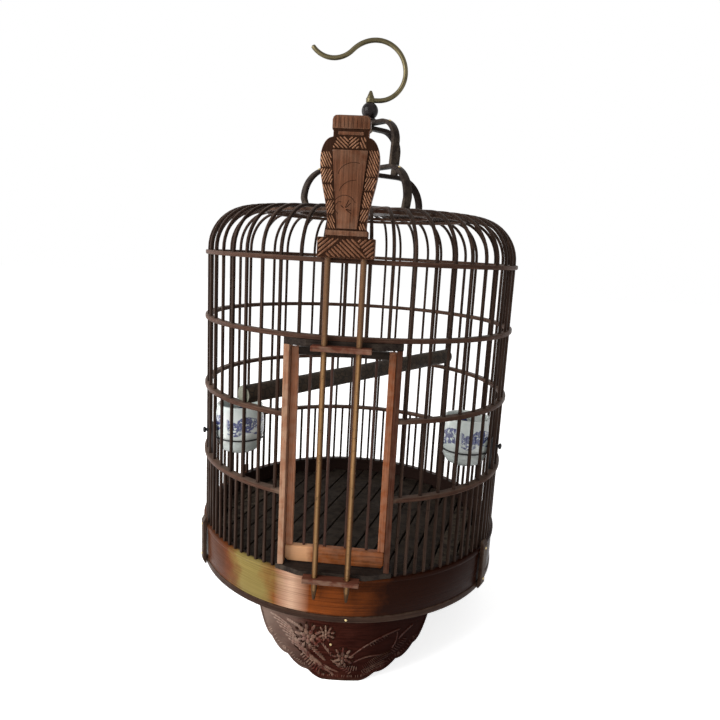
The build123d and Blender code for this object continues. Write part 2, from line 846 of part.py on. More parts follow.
eye_z = bead_z + 2 * bead_half + hook_gap
finial_z = eye_z + hook_wire + hook_gap
pin_head_z = hanger_z - 2 * bow_thick - pin_head_height
with BuildPart() as swivel_pin:
    with BuildSketch(Plane.XY.offset(pin_head_z)):
        RegularPolygon(pin_head_size / 2, small_sides)
    extrude(amount=pin_head_height)
    with BuildSketch(Plane.XY.offset(pin_head_z)):
        RegularPolygon(pin_size / 2, small_sides)
    extrude(amount=finial_z - pin_head_z)
    with BuildSketch(Plane.XY.offset(finial_z)):
        RegularPolygon(finial_size / 2, small_sides)
    extrude(amount=finial_height)
    chamfer(swivel_pin.faces().sort_by(Axis.Z)[-1].edges(), finial_height / 3)
save(swivel_pin, "swivel_pin")

eye_outside = pin_size / 2 + hook_eye_fit + hook_eye_wall
hook_z = eye_z + hook_wire / 2
with BuildPart() as hook:
    with BuildLine(Plane.XZ) as hook_route:
        foot_run = Line((eye_outside - hook_eye_wall / 2, hook_z), (hook_run, hook_z))
        low = JernArc(foot_run @ 1, foot_run % 1, hook_lower_bend, 90)
        high = JernArc(low @ 1, low % 1, hook_upper_bend, 90)
        crest = JernArc(high @ 1, high % 1, hook_crest_bend, hook_crest_angle)
        JernArc(crest @ 1, crest % 1, hook_tail_bend, -hook_tail_angle)
    with BuildSketch(Plane(foot_run @ 0, z_dir=foot_run % 0)):
        RegularPolygon(hook_wire / 2, hook_sides)
    sweep(path=hook_route.wire())
    with BuildSketch(Plane.XY.offset(eye_z)):
        RegularPolygon(eye_outside, small_sides)
    extrude(amount=hook_wire)
    with BuildSketch(Plane.XY.offset(eye_z)):
        RegularPolygon(pin_size / 2 + hook_eye_fit, small_sides)
    extrude(amount=hook_wire, mode=Mode.SUBTRACT)
save(hook, "hook")
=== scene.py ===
"""Dresses the bamboo bird cage: splints, hoops, base, carved feet, door, vase-shaped bolt, cups, hanger.

Laid out as an add-on and run as a script. Metres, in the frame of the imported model.
"""
from math import asin, atan2, copysign, cos, dist, pi, radians, sin, sqrt, tan

import bpy
from bpy.props import FloatProperty, FloatVectorProperty, PointerProperty
from mathutils import Matrix, Vector


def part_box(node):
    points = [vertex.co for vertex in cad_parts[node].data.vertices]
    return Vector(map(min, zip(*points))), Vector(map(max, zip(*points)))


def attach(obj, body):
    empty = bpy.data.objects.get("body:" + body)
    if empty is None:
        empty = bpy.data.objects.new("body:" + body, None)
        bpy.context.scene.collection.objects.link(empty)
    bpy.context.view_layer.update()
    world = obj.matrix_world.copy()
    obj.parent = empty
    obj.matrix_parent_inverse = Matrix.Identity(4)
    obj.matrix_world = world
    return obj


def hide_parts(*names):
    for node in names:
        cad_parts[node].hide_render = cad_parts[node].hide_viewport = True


bl_info = {
    "name": "Bamboo bird cage",
    "version": (1, 0, 0),
    "blender": (4, 5, 0),
    "location": "3D View > Sidebar > Cage",
    "description": "Builds the pieces and finishes of a round bamboo bird cage over its packed model",
    "category": "Add Mesh",
}

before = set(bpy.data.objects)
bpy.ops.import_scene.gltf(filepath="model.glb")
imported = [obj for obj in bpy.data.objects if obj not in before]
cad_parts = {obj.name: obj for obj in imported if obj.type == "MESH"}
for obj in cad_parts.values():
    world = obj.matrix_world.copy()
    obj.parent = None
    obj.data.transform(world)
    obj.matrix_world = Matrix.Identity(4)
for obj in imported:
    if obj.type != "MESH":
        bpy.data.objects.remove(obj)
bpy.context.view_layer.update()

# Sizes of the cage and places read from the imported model, in metres; angles are in radians
MM = 0.001
BARS = 52
DOORWAY_BARS = 5
WALL_BARS = BARS - DOORWAY_BARS
PITCH = radians(360 / BARS)
DOOR_SIDE = radians(-90)
BAR_CIRCLE = 157.5 * MM
BOSS_REACH = 31.0 * MM
SHOULDER = 384 * MM
BEND = 42 * MM
RISE = radians(3)
BEND_ANGLE = pi / 2 - RISE
DOME_EDGE = BAR_CIRCLE - BEND * (1 - cos(BEND_ANGLE))
LIP_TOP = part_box("band_lip")[1][2]
HEAD_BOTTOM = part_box("door_head_bars")[0][2]
CUP_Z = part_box("left_cup")[0][2]
# In millimetres, as the carved pieces are drawn in them
PLAQUE_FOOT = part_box("vase_plaque")[0][2] / MM
FOOT_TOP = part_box("front_foot")[1][2] / MM


def dome_z(radius):
    """Height of a dome splint's middle at a radius."""
    return SHOULDER + BEND * sin(BEND_ANGLE) + (DOME_EDGE - radius) * tan(RISE)


def tone(red, green, blue):
    """A colour given as on a screen, 0 to 255, in the linear values that a shader takes."""
    parts = []
    for value in (red, green, blue):
        share = value / 255
        parts.append(share / 12.92 if share <= 0.04045 else ((share + 0.055) / 1.055) ** 2.4)
    return tuple(parts)


def size_property(name, description, default):
    """A length that a user may change."""
    return FloatProperty(name=name, description=description, default=default, unit="LENGTH", min=0.0001)


def colour_property(name, description, default):
    """A colour that a user may change."""
    return FloatVectorProperty(
        name=name, description=description, default=default, subtype="COLOR", min=0, max=1
    )


class CageSizes(bpy.types.PropertyGroup):
    splint: size_property("Splint", "Width of a bent splint", 2.8 * MM)
    round_over: size_property("Splint rounding", "Rounding along a splint's long edges", 0.75 * MM)
    hoop_round: size_property("Hoop rounding", "Rounding along a hoop's edges", 0.7 * MM)
    wood_round: size_property("Board rounding", "Rounding of the doorway's and the door's edges", 0.45 * MM)
    strip_round: size_property("Bow rounding", "Rounding along the edges of the hanger's bows", 1.1 * MM)
    hook_wire: size_property("Hook wire", "Thickness of the hook", 4.8 * MM)
    wire: size_property("Cup ring wire", "Thickness of the ring that holds a cup", 1.6 * MM)


class CageColours(bpy.types.PropertyGroup):
    splint: colour_property("Splints", "Dark stained bamboo", tone(64, 48, 40))
    hoop: colour_property("Hoops", "Dark stained bamboo hoops", tone(72, 48, 38))
    band: colour_property("Band", "Warm varnish of the base band", tone(124, 62, 24))
    # Colour of the painted yellow reflection on the band's left
    band_reflection: colour_property("Band, pale side", "Yellow side of the bent bamboo band", tone(138, 120, 68))
    rim: colour_property("Rim", "Rim and cleats", tone(54, 34, 24))
    # The right jamb: the jambs' wood darkened as painted shade
    dark_jamb: colour_property("Right jamb", "Dark jamb wood", tone(72, 40, 28))
    door_bar: colour_property("Door bars", "Reddish door bars", tone(70, 47, 39))
    foot: colour_property("Feet", "Dark red-brown carved wood", tone(54, 19, 11))
    vase: colour_property("Bolt plaque", "Oiled carved wood", tone(98, 60, 40))
    rod: colour_property("Bolt rods", "Pale golden bamboo", tone(122, 87, 52))
    # The left jamb: paler from wear and from painted light
    jamb: colour_property("Jambs", "Worn jamb wood", tone(158, 112, 86))
    door: colour_property("Door", "Orange-brown varnish", tone(158, 92, 58))
    board: colour_property("Header and sill", "Near black boards", tone(40, 33, 30))
    guide: colour_property("Guides", "Reddish guide boards", tone(96, 54, 40))
    floor: colour_property("Floor", "Dark floor slats", tone(34, 27, 23))
    bough: colour_property("Perch", "Bark of the perch", tone(52, 41, 30))
    bough_end: colour_property("Perch end", "Cut end of the perch", tone(112, 112, 96))
    bow: colour_property("Hanger", "Dark bent bamboo strips", tone(44, 36, 33))
    brass: colour_property("Hook", "Aged brass", tone(92, 84, 62))
    bead: colour_property("Bead", "Dark polished bead", tone(30, 24, 24))
    wire: colour_property("Wire", "Blackened wire", tone(38, 37, 38))
    glaze: colour_property("Glaze", "White glaze", tone(216, 219, 214))
    brush: colour_property("Brushwork", "Blue under the glaze", tone(56, 64, 124))


def sizes():
    return bpy.context.scene.cage_sizes


def colours():
    return bpy.context.scene.cage_colours


# Modelling helpers


def clear():
    """Object mode with nothing selected."""
    if bpy.context.object and bpy.context.object.mode != "OBJECT":
        bpy.ops.object.mode_set(mode="OBJECT")
    bpy.ops.object.select_all(action="DESELECT")


def pick(*objs):
    """Selects these objects and makes the first one active."""
    clear()
    for obj in objs:
        obj.select_set(True)
    bpy.context.view_layer.objects.active = objs[0]
    return objs[0]


def edit(obj):
    """Edit mode on one object with all of it selected."""
    pick(obj)
    bpy.ops.object.mode_set(mode="EDIT")
    bpy.ops.mesh.select_all(action="SELECT")


def settle(obj):
    """Applies an object's place, so that it sits at the origin, unturned and unscaled."""
    pick(obj)
    bpy.ops.object.transform_apply(location=True, rotation=True, scale=True)
    return obj


def loop(points, filled=False):
    """A circle primitive whose corners are set on the given places."""
    clear()
    fill = "NGON" if filled else "NOTHING"
    bpy.ops.mesh.primitive_circle_add(vertices=len(points), radius=MM, fill_type=fill)
    obj = bpy.context.object
    for vertex, point in zip(obj.data.vertices, points):
        vertex.co = point
    return obj


def close_up(obj, smooth=35):
    """Caps open ends, turns the faces outwards and smooths all but the sharp edges."""
    edit(obj)
    bpy.ops.mesh.remove_doubles(threshold=0.00001)
    bpy.ops.mesh.fill_holes(sides=0)
    bpy.ops.mesh.normals_make_consistent(inside=False)
    bpy.ops.object.mode_set(mode="OBJECT")
    bpy.ops.object.shade_smooth_by_angle(angle=radians(smooth))
    return obj


def turn_round(obj, steps, angle=2 * pi, centre=(0, 0, 0)):
    """Spins the selected loop about a standing axis."""
    edit(obj)
    bpy.ops.mesh.spin(steps=steps, angle=angle, center=centre, axis=(0, 0, -1))
    bpy.ops.object.mode_set(mode="OBJECT")
    return obj


def ring(profile, steps=128, start=0.0, sweep=2 * pi, smooth=35):
    """A ring or an open hoop about the cage's axis, from (radius, height) corners."""
    obj = loop([(radius * cos(start), radius * sin(start), height) for radius, height in profile])
    turn_round(obj, steps, sweep)
    return close_up(obj, smooth)


def lathe(profile, centre=(0, 0), steps=32, smooth=40):
    """A turned piece on a standing axis, from an open line of (radius, height) corners in millimetres.

    Ends on the axis close. The centre is in metres.
    """
    x, y = centre
    obj = loop([(x + radius * MM, y, height * MM) for radius, height in profile])
    edit(obj)
    bpy.ops.mesh.select_all(action="DESELECT")
    bpy.ops.object.mode_set(mode="OBJECT")
    last = len(profile) - 1
    for edge in obj.data.edges:
        if set(edge.vertices) == {0, last}:
            edge.select = True
    bpy.ops.object.mode_set(mode="EDIT")
    bpy.ops.mesh.select_mode(type="EDGE")
    bpy.ops.mesh.delete(type="EDGE")
    bpy.ops.mesh.select_mode(type="VERT")
    bpy.ops.object.mode_set(mode="OBJECT")
    turn_round(obj, steps, 2 * pi, (x, y, 0))
    return close_up(obj, smooth)


def run_on(vector):
    """Draws the selected end further, in edit mode."""
    bpy.ops.mesh.extrude_region_move(TRANSFORM_OT_translate={"value": vector})


def bend_on(angle, centre, axis, steps):
    """Bends the selected end on about an axis, by the right-hand rule, in edit mode."""
    bpy.ops.mesh.spin(steps=steps, angle=angle, center=centre, axis=tuple(-part for part in axis))


def thicken(obj, vector):
    """Draws a flat piece out into a solid one and turns its faces outwards."""
    edit(obj)
    run_on(vector)
    bpy.ops.mesh.select_all(action="SELECT")
    bpy.ops.mesh.normals_make_consistent(inside=False)
    bpy.ops.object.mode_set(mode="OBJECT")
    return obj


def section(centre, half_x, half_y, corner):
    """Corners of a level rectangle with rounded corners round a place."""
    a, b, c = half_x, half_y, corner
    cut = c * 0.3
    flat = [
        (a - c, -b), (a - cut, -b + cut), (a, -b + c), (a, b - c), (a - cut, b - cut), (a - c, b),
        (-a + c, b), (-a + cut, b - cut), (-a, b - c), (-a, -b + c), (-a + cut, -b + cut), (-a + c, -b),
    ]
    return [Vector(centre) + Vector((u, v, 0)) for u, v in flat]


def circle(centre, across, along, radius, count):
    """Places round a circle in the plane of two directions."""
    places = []
    for index in range(count):
        angle = 2 * pi * index / count
        spoke = Vector(across) * radius * cos(angle) + Vector(along) * radius * sin(angle)
        places.append(Vector(centre) + spoke)
    return places


def copies_round(obj, start, step, count):
    """Copies a piece round the cage's axis with an array turned by an empty."""
    obj.rotation_euler.z = start
    settle(obj)
    clear()
    bpy.ops.object.empty_add(location=(0, 0, 0))
    guide = bpy.context.object
    guide.rotation_euler.z = step
    bpy.context.view_layer.update()
    pick(obj)
    array = obj.modifiers.new("Round", "ARRAY")
    array.count = count
    array.use_relative_offset = False
    array.use_object_offset = True
    array.offset_object = guide
    bpy.ops.object.modifier_apply(modifier=array.name)
    bpy.data.objects.remove(guide)
    return obj


def join(pieces):
    """Joins pieces into the first."""
    obj = pick(*pieces)
    if len(pieces) > 1:
        bpy.ops.object.join()
    return obj


def round_edges(obj, width, segments=2, limit=30):
    """A modifier that rounds the sharp edges."""
    modifier = obj.modifiers.new("Round edges", "BEVEL")
    modifier.width = width
    modifier.segments = segments
    modifier.limit_method = "ANGLE"
    modifier.angle_limit = radians(limit)
    return modifier


def bevel(obj, width, segments=2, limit=30):
    """Rounds the sharp edges with an applied modifier."""
    pick(obj)
    modifier = round_edges(obj, width, segments, limit)
    bpy.ops.object.modifier_apply(modifier=modifier.name)
    bpy.ops.object.shade_smooth_by_angle(angle=radians(40))
    return obj


def cut_away(obj, cutter):
    """Takes the cutter's shape out of a piece and drops the cutter."""
    pick(obj)
    notch = obj.modifiers.new("Notch", "BOOLEAN")
    notch.operation = "DIFFERENCE"
    notch.object = cutter
    bpy.ops.object.modifier_apply(modifier=notch.name)
    bpy.data.objects.remove(cutter)


def block(low, high, rounding):
    """A cube primitive set between two corners, with rounded edges."""
    clear()
    bpy.ops.mesh.primitive_cube_add(size=1)
    obj = bpy.context.object
    obj.location = [(a + b) / 2 for a, b in zip(low, high)]
    obj.scale = [b - a for a, b in zip(low, high)]
    settle(obj)
    return bevel(obj, rounding)


def copy_of(obj, matrix):
    """A copy of a piece with its own mesh, placed by a matrix."""
    twin = obj.copy()
    twin.data = obj.data.copy()
    bpy.context.collection.objects.link(twin)
    twin.matrix_world = matrix
    return twin


def scatter(seed, matrices):
    """Copies a small piece to every place, joins the copies and drops the first one."""
    obj = join([copy_of(seed, matrix) for matrix in matrices])
    settle(obj)
    bpy.data.objects.remove(seed)
    return obj


def set_finish(obj, *materials):
    """Gives a piece these materials and no others."""
    obj.data.materials.clear()
    for material in materials:
        obj.data.materials.append(material)


def dress(obj, name, body, material, slot, *nodes):
    """Names a finished piece, gives it its finish, ties it to its body and hides the nodes it stands for."""
    obj.name = name
    obj.data.name = name
    set_finish(obj, *(material if isinstance(material, list) else [material]))
    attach(obj, body)
    if nodes:
        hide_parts(*nodes)
    return obj


def soften(node, material, width):
    """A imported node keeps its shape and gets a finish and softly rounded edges."""
    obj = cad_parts[node]
    set_finish(obj, material)
    weld = obj.modifiers.new("Merge", "WELD")
    weld.merge_threshold = 0.00001
    round_edges(obj, width)


def place(azimuth, radius, height):
    """A place round the cage; azimuth 0 is the door side, and it grows towards +X."""
    return Vector((radius * sin(azimuth), -radius * cos(azimuth), height))


def facing(spot, direction):
    """A matrix that puts a piece on a place, with its Z axis along a direction."""
    return Matrix.Translation(spot) @ direction.to_track_quat("Z", "Y").to_matrix().to_4x4()


# Node groups for effects that several finishes share


def once(store, name):
    """Marks a function that makes a finish or a node group: it runs once, and later calls find its work."""

    def keep(make):
        def found():
            made = getattr(bpy.data, store)
            return made[name] if name in made else make(name)

        return found

    return keep


def new_group(name, inputs, outputs):
    """A node group with numbers or vectors in and numbers out."""
    group = bpy.data.node_groups.new(name, "ShaderNodeTree")
    for label, value in inputs.items():
        kind = "NodeSocketVector" if isinstance(value, tuple) else "NodeSocketFloat"
        socket = group.interface.new_socket(label, in_out="INPUT", socket_type=kind)
        socket.default_value = value
    for label in outputs:
        group.interface.new_socket(label, in_out="OUTPUT", socket_type="NodeSocketFloat")
    return group, group.nodes.new("NodeGroupInput").outputs, group.nodes.new("NodeGroupOutput").inputs


def link(tree, value, target):
    """Links a socket to another one, or sets it to a plain value."""
    if isinstance(value, bpy.types.NodeSocket):
        tree.links.new(value, target)
    else:
        target.default_value = value


def maths(tree, operation, *values):
    """A Math node; numbers and sockets may both be given."""
    node = tree.nodes.new("ShaderNodeMath")
    node.operation = operation
    for socket, value in zip(node.inputs, values):
        link(tree, value, socket)
    return node.outputs[0]


def times(tree, first, second):
    return maths(tree, "MULTIPLY", first, second)


def spread(tree, value, low, high, to_low=0.0, to_high=1.0):
    """A clamped Map Range node."""
    node = tree.nodes.new("ShaderNodeMapRange")
    labels = ("Value", "From Min", "From Max", "To Min", "To Max")
    for label, given in zip(labels, (value, low, high, to_low, to_high)):
        link(tree, given, node.inputs[label])
    return node.outputs["Result"]


def noise(tree, vector, scale, detail=4.0, roughness=0.55):
    node = tree.nodes.new("ShaderNodeTexNoise")
    values = {"Vector": vector, "Scale": scale, "Detail": detail, "Roughness": roughness}
    for label, value in values.items():
        link(tree, value, node.inputs[label])
    return node.outputs["Fac"]


def object_place(tree):
    return tree.nodes.new("ShaderNodeTexCoord").outputs["Object"]


def place_noise(tree, scale, detail=4.0, roughness=0.55):
    return noise(tree, object_place(tree), scale, detail, roughness)


def split(tree, vector):
    node = tree.nodes.new("ShaderNodeSeparateXYZ")
    link(tree, vector, node.inputs[0])
    return node.outputs


def side_angle(tree):
    """The angle round the cage: 0 at the door side, and it grows towards +X."""
    x, y = split(tree, object_place(tree))[:2]
    return maths(tree, "ARCTAN2", x, times(tree, y, -1.0))


def moved_place(tree, centre):
    """The place on the object, counted from a centre."""
    mapping = tree.nodes.new("ShaderNodeMapping")
    mapping.inputs["Location"].default_value = [-part for part in centre]
    link(tree, object_place(tree), mapping.inputs["Vector"])
    return mapping.outputs["Vector"]


@once("node_groups", "Wood grain")
def grain_group(name):
    """Streaks that run where the stretch is small."""
    inputs = {"Stretch": (900, 900, 30), "Low": 0.38, "High": 0.64}
    group, source, sink = new_group(name, inputs, ["Grain", "Blotch"])
    scaled = group.nodes.new("ShaderNodeVectorMath")
    scaled.operation = "MULTIPLY"
    link(group, object_place(group), scaled.inputs[0])
    link(group, source["Stretch"], scaled.inputs[1])
    streaks = noise(group, scaled.outputs[0], 1.0, detail=7.0, roughness=0.62)
    link(group, spread(group, streaks, source["Low"], source["High"]), sink["Grain"])
    link(group, spread(group, place_noise(group, 38.0, detail=3.0), 0.35, 0.68), sink["Blotch"])
    return group


@once("node_groups", "Splint tone")
def splint_group(name):
    """A different tone and different joints for each splint round the cage."""
    group, source, sink = new_group(name, {"Joints": 9.0}, ["Tone", "Joint"])
    x, y, z = split(group, object_place(group))
    index = maths(group, "ROUND", times(group, maths(group, "ARCTAN2", y, x), 2 / PITCH))
    white = group.nodes.new("ShaderNodeTexWhiteNoise")
    white.noise_dimensions = "1D"
    link(group, index, white.inputs["W"])
    own = white.outputs["Value"]
    link(group, own, sink["Tone"])
    height = maths(group, "MULTIPLY_ADD", z, source["Joints"], times(group, own, 7.0))
    near = maths(group, "ABSOLUTE", maths(group, "SUBTRACT", maths(group, "FRACT", height), 0.5))
    link(group, spread(group, near, 0.0, 0.012, 1.0, 0.0), sink["Joint"])
    return group


@once("node_groups", "Edge wear")
def wear_group(name):
    """Worn edges from the mesh's sharpness, broken up by noise."""
    group, source, sink = new_group(name, {"Sharpness": 0.53, "Break up": 140.0}, ["Wear"])
    geometry = group.nodes.new("ShaderNodeNewGeometry")
    sharp = source["Sharpness"]
    edge = spread(group, geometry.outputs["Pointiness"], sharp, maths(group, "ADD", sharp, 0.09))
    broken = spread(group, place_noise(group, source["Break up"], detail=2.0, roughness=0.5), 0.35, 0.6)
    link(group, times(group, edge, broken), sink["Wear"])
    return group


@once("node_groups", "Dust film")
def dust_group(name):
    """A thin grey film on faces that look up."""
    group, source, sink = new_group(name, {"Amount": 0.3}, ["Dust"])
    geometry = group.nodes.new("ShaderNodeNewGeometry")
    up = spread(group, split(group, geometry.outputs["Normal"])[2], 0.45, 1.0)
    patches = spread(group, place_noise(group, 90.0), 0.3, 0.75, 0.4, 1.0)
    link(group, times(group, times(group, up, patches), source["Amount"]), sink["Dust"])
    return group


@once("node_groups", "Brushwork")
def brushwork_group(name):
    """A painted band of blossoms round a cup whose axis is the Z of the given place."""
    group, source, sink = new_group(name, {"Place": (0, 0, 0)}, ["Paint"])
    spot = source["Place"]
    middle = 33.5
    x, y, z = split(group, spot)
    angle = maths(group, "ARCTAN2", y, x)
    shaken = maths(group, "MULTIPLY_ADD", noise(group, spot, 120.0, 2.0), 6.0, times(group, z, 1000.0))
    swing = times(group, maths(group, "SINE", times(group, angle, 5.0)), 2.2)
    height = maths(group, "SUBTRACT", maths(group, "SUBTRACT", shaken, middle), swing)
    in_band = spread(group, maths(group, "ABSOLUTE", height), 7.6, 8.6, 1.0, 0.0)
    blossoms = group.nodes.new("ShaderNodeTexVoronoi")
    blossoms.inputs["Scale"].default_value = 120.0
    link(group, spot, blossoms.inputs["Vector"])
    petals = spread(group, blossoms.outputs["Distance"], 0.74, 0.84, 1.0, 0.0)
    leaves = spread(group, noise(group, spot, 300.0, 2.0), 0.39, 0.44)
    motif = times(group, times(group, petals, leaves), in_band)
    runs = spread(group, maths(group, "SINE", times(group, angle, 4.0)), -1.0, -0.8)
    strokes = spread(group, noise(group, spot, 700.0, 3.0), 0.3, 0.5, 0.75, 1.0)
    link(group, times(group, times(group, motif, runs), strokes), sink["Paint"])
    return group


def use(tree, group, **values):
    """A node group in a tree, of which this gives the outputs."""
    node = tree.nodes.new("ShaderNodeGroup")
    node.node_tree = group
    for key, value in values.items():
        link(tree, value, node.inputs[key])
    return node.outputs


def blend_colour(tree, share, first, second):
    """A colour Mix node; colours and sockets may both be given."""
    node = tree.nodes.new("ShaderNodeMix")
    node.data_type = "RGBA"
    link(tree, share, node.inputs["Factor"])
    for label, value in (("A", first), ("B", second)):
        link(tree, (*value, 1.0) if isinstance(value, tuple) else value, node.inputs[label])
    return node.outputs["Result"]


def shade(colour, share):
    return tuple(part * share for part in colour)


def towards(colour, other, share):
    return tuple(a + (b - a) * share for a, b in zip(colour, other))


def new_material(name, roughness, coat=0.0, metallic=0.0, specular=0.5):
    material = bpy.data.materials.new(name)
    material.use_nodes = True
    shader = material.node_tree.nodes["Principled BSDF"]
    shader.inputs["Roughness"].default_value = roughness
    shader.inputs["Metallic"].default_value = metallic
    shader.inputs["Specular IOR Level"].default_value = specular
    shader.inputs["Coat Weight"].default_value = coat
    shader.inputs["Coat Roughness"].default_value = 0.12
    return material, material.node_tree, shader


def bump(tree, shader, height, strength, distance=0.0004):
    """Relief of a strength and a depth in metres."""
    node = tree.nodes.new("ShaderNodeBump")
    node.inputs["Strength"].default_value = strength
    node.inputs["Distance"].default_value = distance
    link(tree, height, node.inputs["Height"])
    link(tree, node.outputs["Normal"], shader.inputs["Normal"])


# Stretches of the grain, small along its way, and colours that several woods share
UPRIGHT = (1100, 1100, 26)
ACROSS = (24, 1100, 900)
ROUND = (22, 22, 1100)
CARVED = (60, 60, 500)
PALE_GRAIN = (0.6, 0.5, 0.4)
BARE_EDGE = (0.62, 0.48, 0.34)
DUST = tone(150, 142, 130)
# Colour of the painted highlight that wood() paints on the lit left of a front
PAINTED_SHEEN_COLOUR = tone(168, 146, 132)


def wood(
    name, colour, stretch, roughness=0.42, coat=0.0, contrast=0.45,
    wear=0.0, dust=0.0, relief=0.15, splints=False, painted_light=0.0,
):
    """Stained or varnished wood with grain and blotches.

    It can have splints of different tones, worn edges, dust, and painted light: a painted highlight
    that makes the front paler at the left and painted shade that makes it darker at the right.
    """
    if name in bpy.data.materials:
        return bpy.data.materials[name]
    material, tree, shader = new_material(name, roughness, coat, specular=0.02)
    colour = tuple(colour)
    grain = use(tree, grain_group(), Stretch=stretch)
    pale = towards(shade(colour, 1 + contrast * 0.7), PALE_GRAIN, 0.01)
    paint = blend_colour(tree, grain["Grain"], shade(colour, 1 - contrast), pale)
    paint = blend_colour(tree, times(tree, grain["Blotch"], 0.4), paint, shade(colour, 0.55))
    height = grain["Grain"]
    if splints:
        tint = use(tree, splint_group())
        paint = blend_colour(tree, times(tree, tint["Tone"], 0.55), paint, shade(colour, 0.35))
        paint = blend_colour(tree, times(tree, tint["Joint"], 0.7), paint, shade(colour, 0.3))
        height = maths(tree, "MULTIPLY_ADD", tint["Joint"], 3.0, height)
    if wear:
        worn = use(tree, wear_group())
        paint = blend_colour(tree, times(tree, worn["Wear"], wear), paint, towards(colour, BARE_EDGE, 0.55))
    if dust:
        paint = blend_colour(tree, use(tree, dust_group(), Amount=dust)["Dust"], paint, DUST)
    # Painted light: a painted highlight on the left of the front and painted shade on its right
    if painted_light:
        side = side_angle(tree)
        wander = maths(tree, "MULTIPLY_ADD", place_noise(tree, 45.0), 0.3, side)
        left = times(tree, spread(tree, wander, 0.06, -0.25, 0.0, painted_light), spread(tree, side, -1.3, -0.9))
        paint = blend_colour(tree, left, paint, PAINTED_SHEEN_COLOUR)
        # Painted shade, darker towards the right of the front
        right = times(tree, spread(tree, wander, 0.15, 0.5, 0.0, 0.85), spread(tree, side, 1.3, 0.9))
        paint = blend_colour(tree, right, paint, shade(colour, 0.25))
    link(tree, paint, shader.inputs["Base Color"])
    shine = spread(tree, grain["Blotch"], 0.0, 1.0, roughness - 0.07, min(roughness + 0.12, 1.0))
    link(tree, shine, shader.inputs["Roughness"])
    bump(tree, shader, height, relief)
    return material


# Plain woods, by the colour that each takes: name, stretch of the grain and what differs from wood()
WOODS = {
    "splint": (
        "Stained splints", UPRIGHT, dict(roughness=0.36, contrast=0.6, dust=0.1, relief=0.2, splints=True),
    ),
    "hoop": ("Stained hoops", ROUND, dict(roughness=0.38, contrast=0.4, wear=0.3, dust=0.15, relief=0.2)),
    "rim": ("Rim wood", ROUND, dict(roughness=0.4, coat=0.1, contrast=0.4, wear=0.3, relief=0.2)),
    # The feet get a painted highlight at the left of the front and painted shade at its right
    "foot": ("Foot wood", CARVED, dict(roughness=0.36, wear=0.25, relief=0.25, painted_light=0.4)),
    "vase": ("Carved plaque wood", (900, 500, 26), dict(coat=0.1, contrast=0.42, wear=0.3, relief=0.25)),
    # The left jamb is paler from wear and painted light; the right jamb is darker from painted shade
    "jamb": ("Worn jamb wood", UPRIGHT, dict(roughness=0.5, contrast=0.3, wear=0.8, relief=0.3)),
    "dark_jamb": ("Dark jamb wood", UPRIGHT, dict(roughness=0.45, contrast=0.4, wear=0.12, relief=0.3)),
    "door_bar": ("Door bar wood", UPRIGHT, dict(roughness=0.38, coat=0.1, contrast=0.4, relief=0.2)),
    "door": ("Stile wood", UPRIGHT, dict(roughness=0.4, coat=0.05, contrast=0.35, wear=0.5, relief=0.2)),
    "board": ("Dark boards", ACROSS, dict(roughness=0.4, contrast=0.4, wear=0.1, relief=0.2)),
    "guide": ("Guide wood", ACROSS, dict(roughness=0.38, coat=0.05, contrast=0.4, wear=0.5, relief=0.2)),
    "floor": ("Floor wood", (240, 1100, 900), dict(roughness=0.55, contrast=0.4, wear=0.2, relief=0.3)),
    "bow": ("Hanger bamboo", (500, 500, 500), dict(roughness=0.36, contrast=0.4, wear=0.3, relief=0.2)),
}


def plain_wood(key):
    name, stretch, values = WOODS[key]
    return wood(name, getattr(colours(), key), stretch, **values)


# Carved strokes of the feet: paler than the panel as a painted highlight on the ridges, with worn edges, more
# painted highlight at the left and painted shade at the right
def foot_stroke_wood():
    values = dict(roughness=0.26, coat=0.15, wear=0.6, relief=0.2, painted_light=0.75)
    return wood("Carved foot strokes", shade(colours().foot, 2.2), CARVED, **values)


# The plaque's recessed front, darkened as painted shade
def recess_shade_wood():
    return wood("Carved ground", shade(colours().vase, 0.24), UPRIGHT, roughness=0.6, contrast=0.3)


# Dark strokes that stand in for the shade in cuts and grooves: painted shade
def groove_shade_wood():
    return wood("Cut lines", shade(colours().vase, 0.22), UPRIGHT, roughness=0.7)


# The left stile: the door's wood made paler as painted light from the left
def lit_stile_wood():
    colour = towards(colours().door, tone(214, 152, 118), 0.45)
    return wood("Left stile wood", colour, UPRIGHT, roughness=0.4, coat=0.05, contrast=0.3, wear=0.5)


def opened(material):
    """A finish that gets more layers: its tree, the socket of its colour and the colour so far."""
    tree = material.node_tree
    socket = tree.nodes["Principled BSDF"].inputs["Base Color"]
    return tree, socket, socket.links[0].from_socket


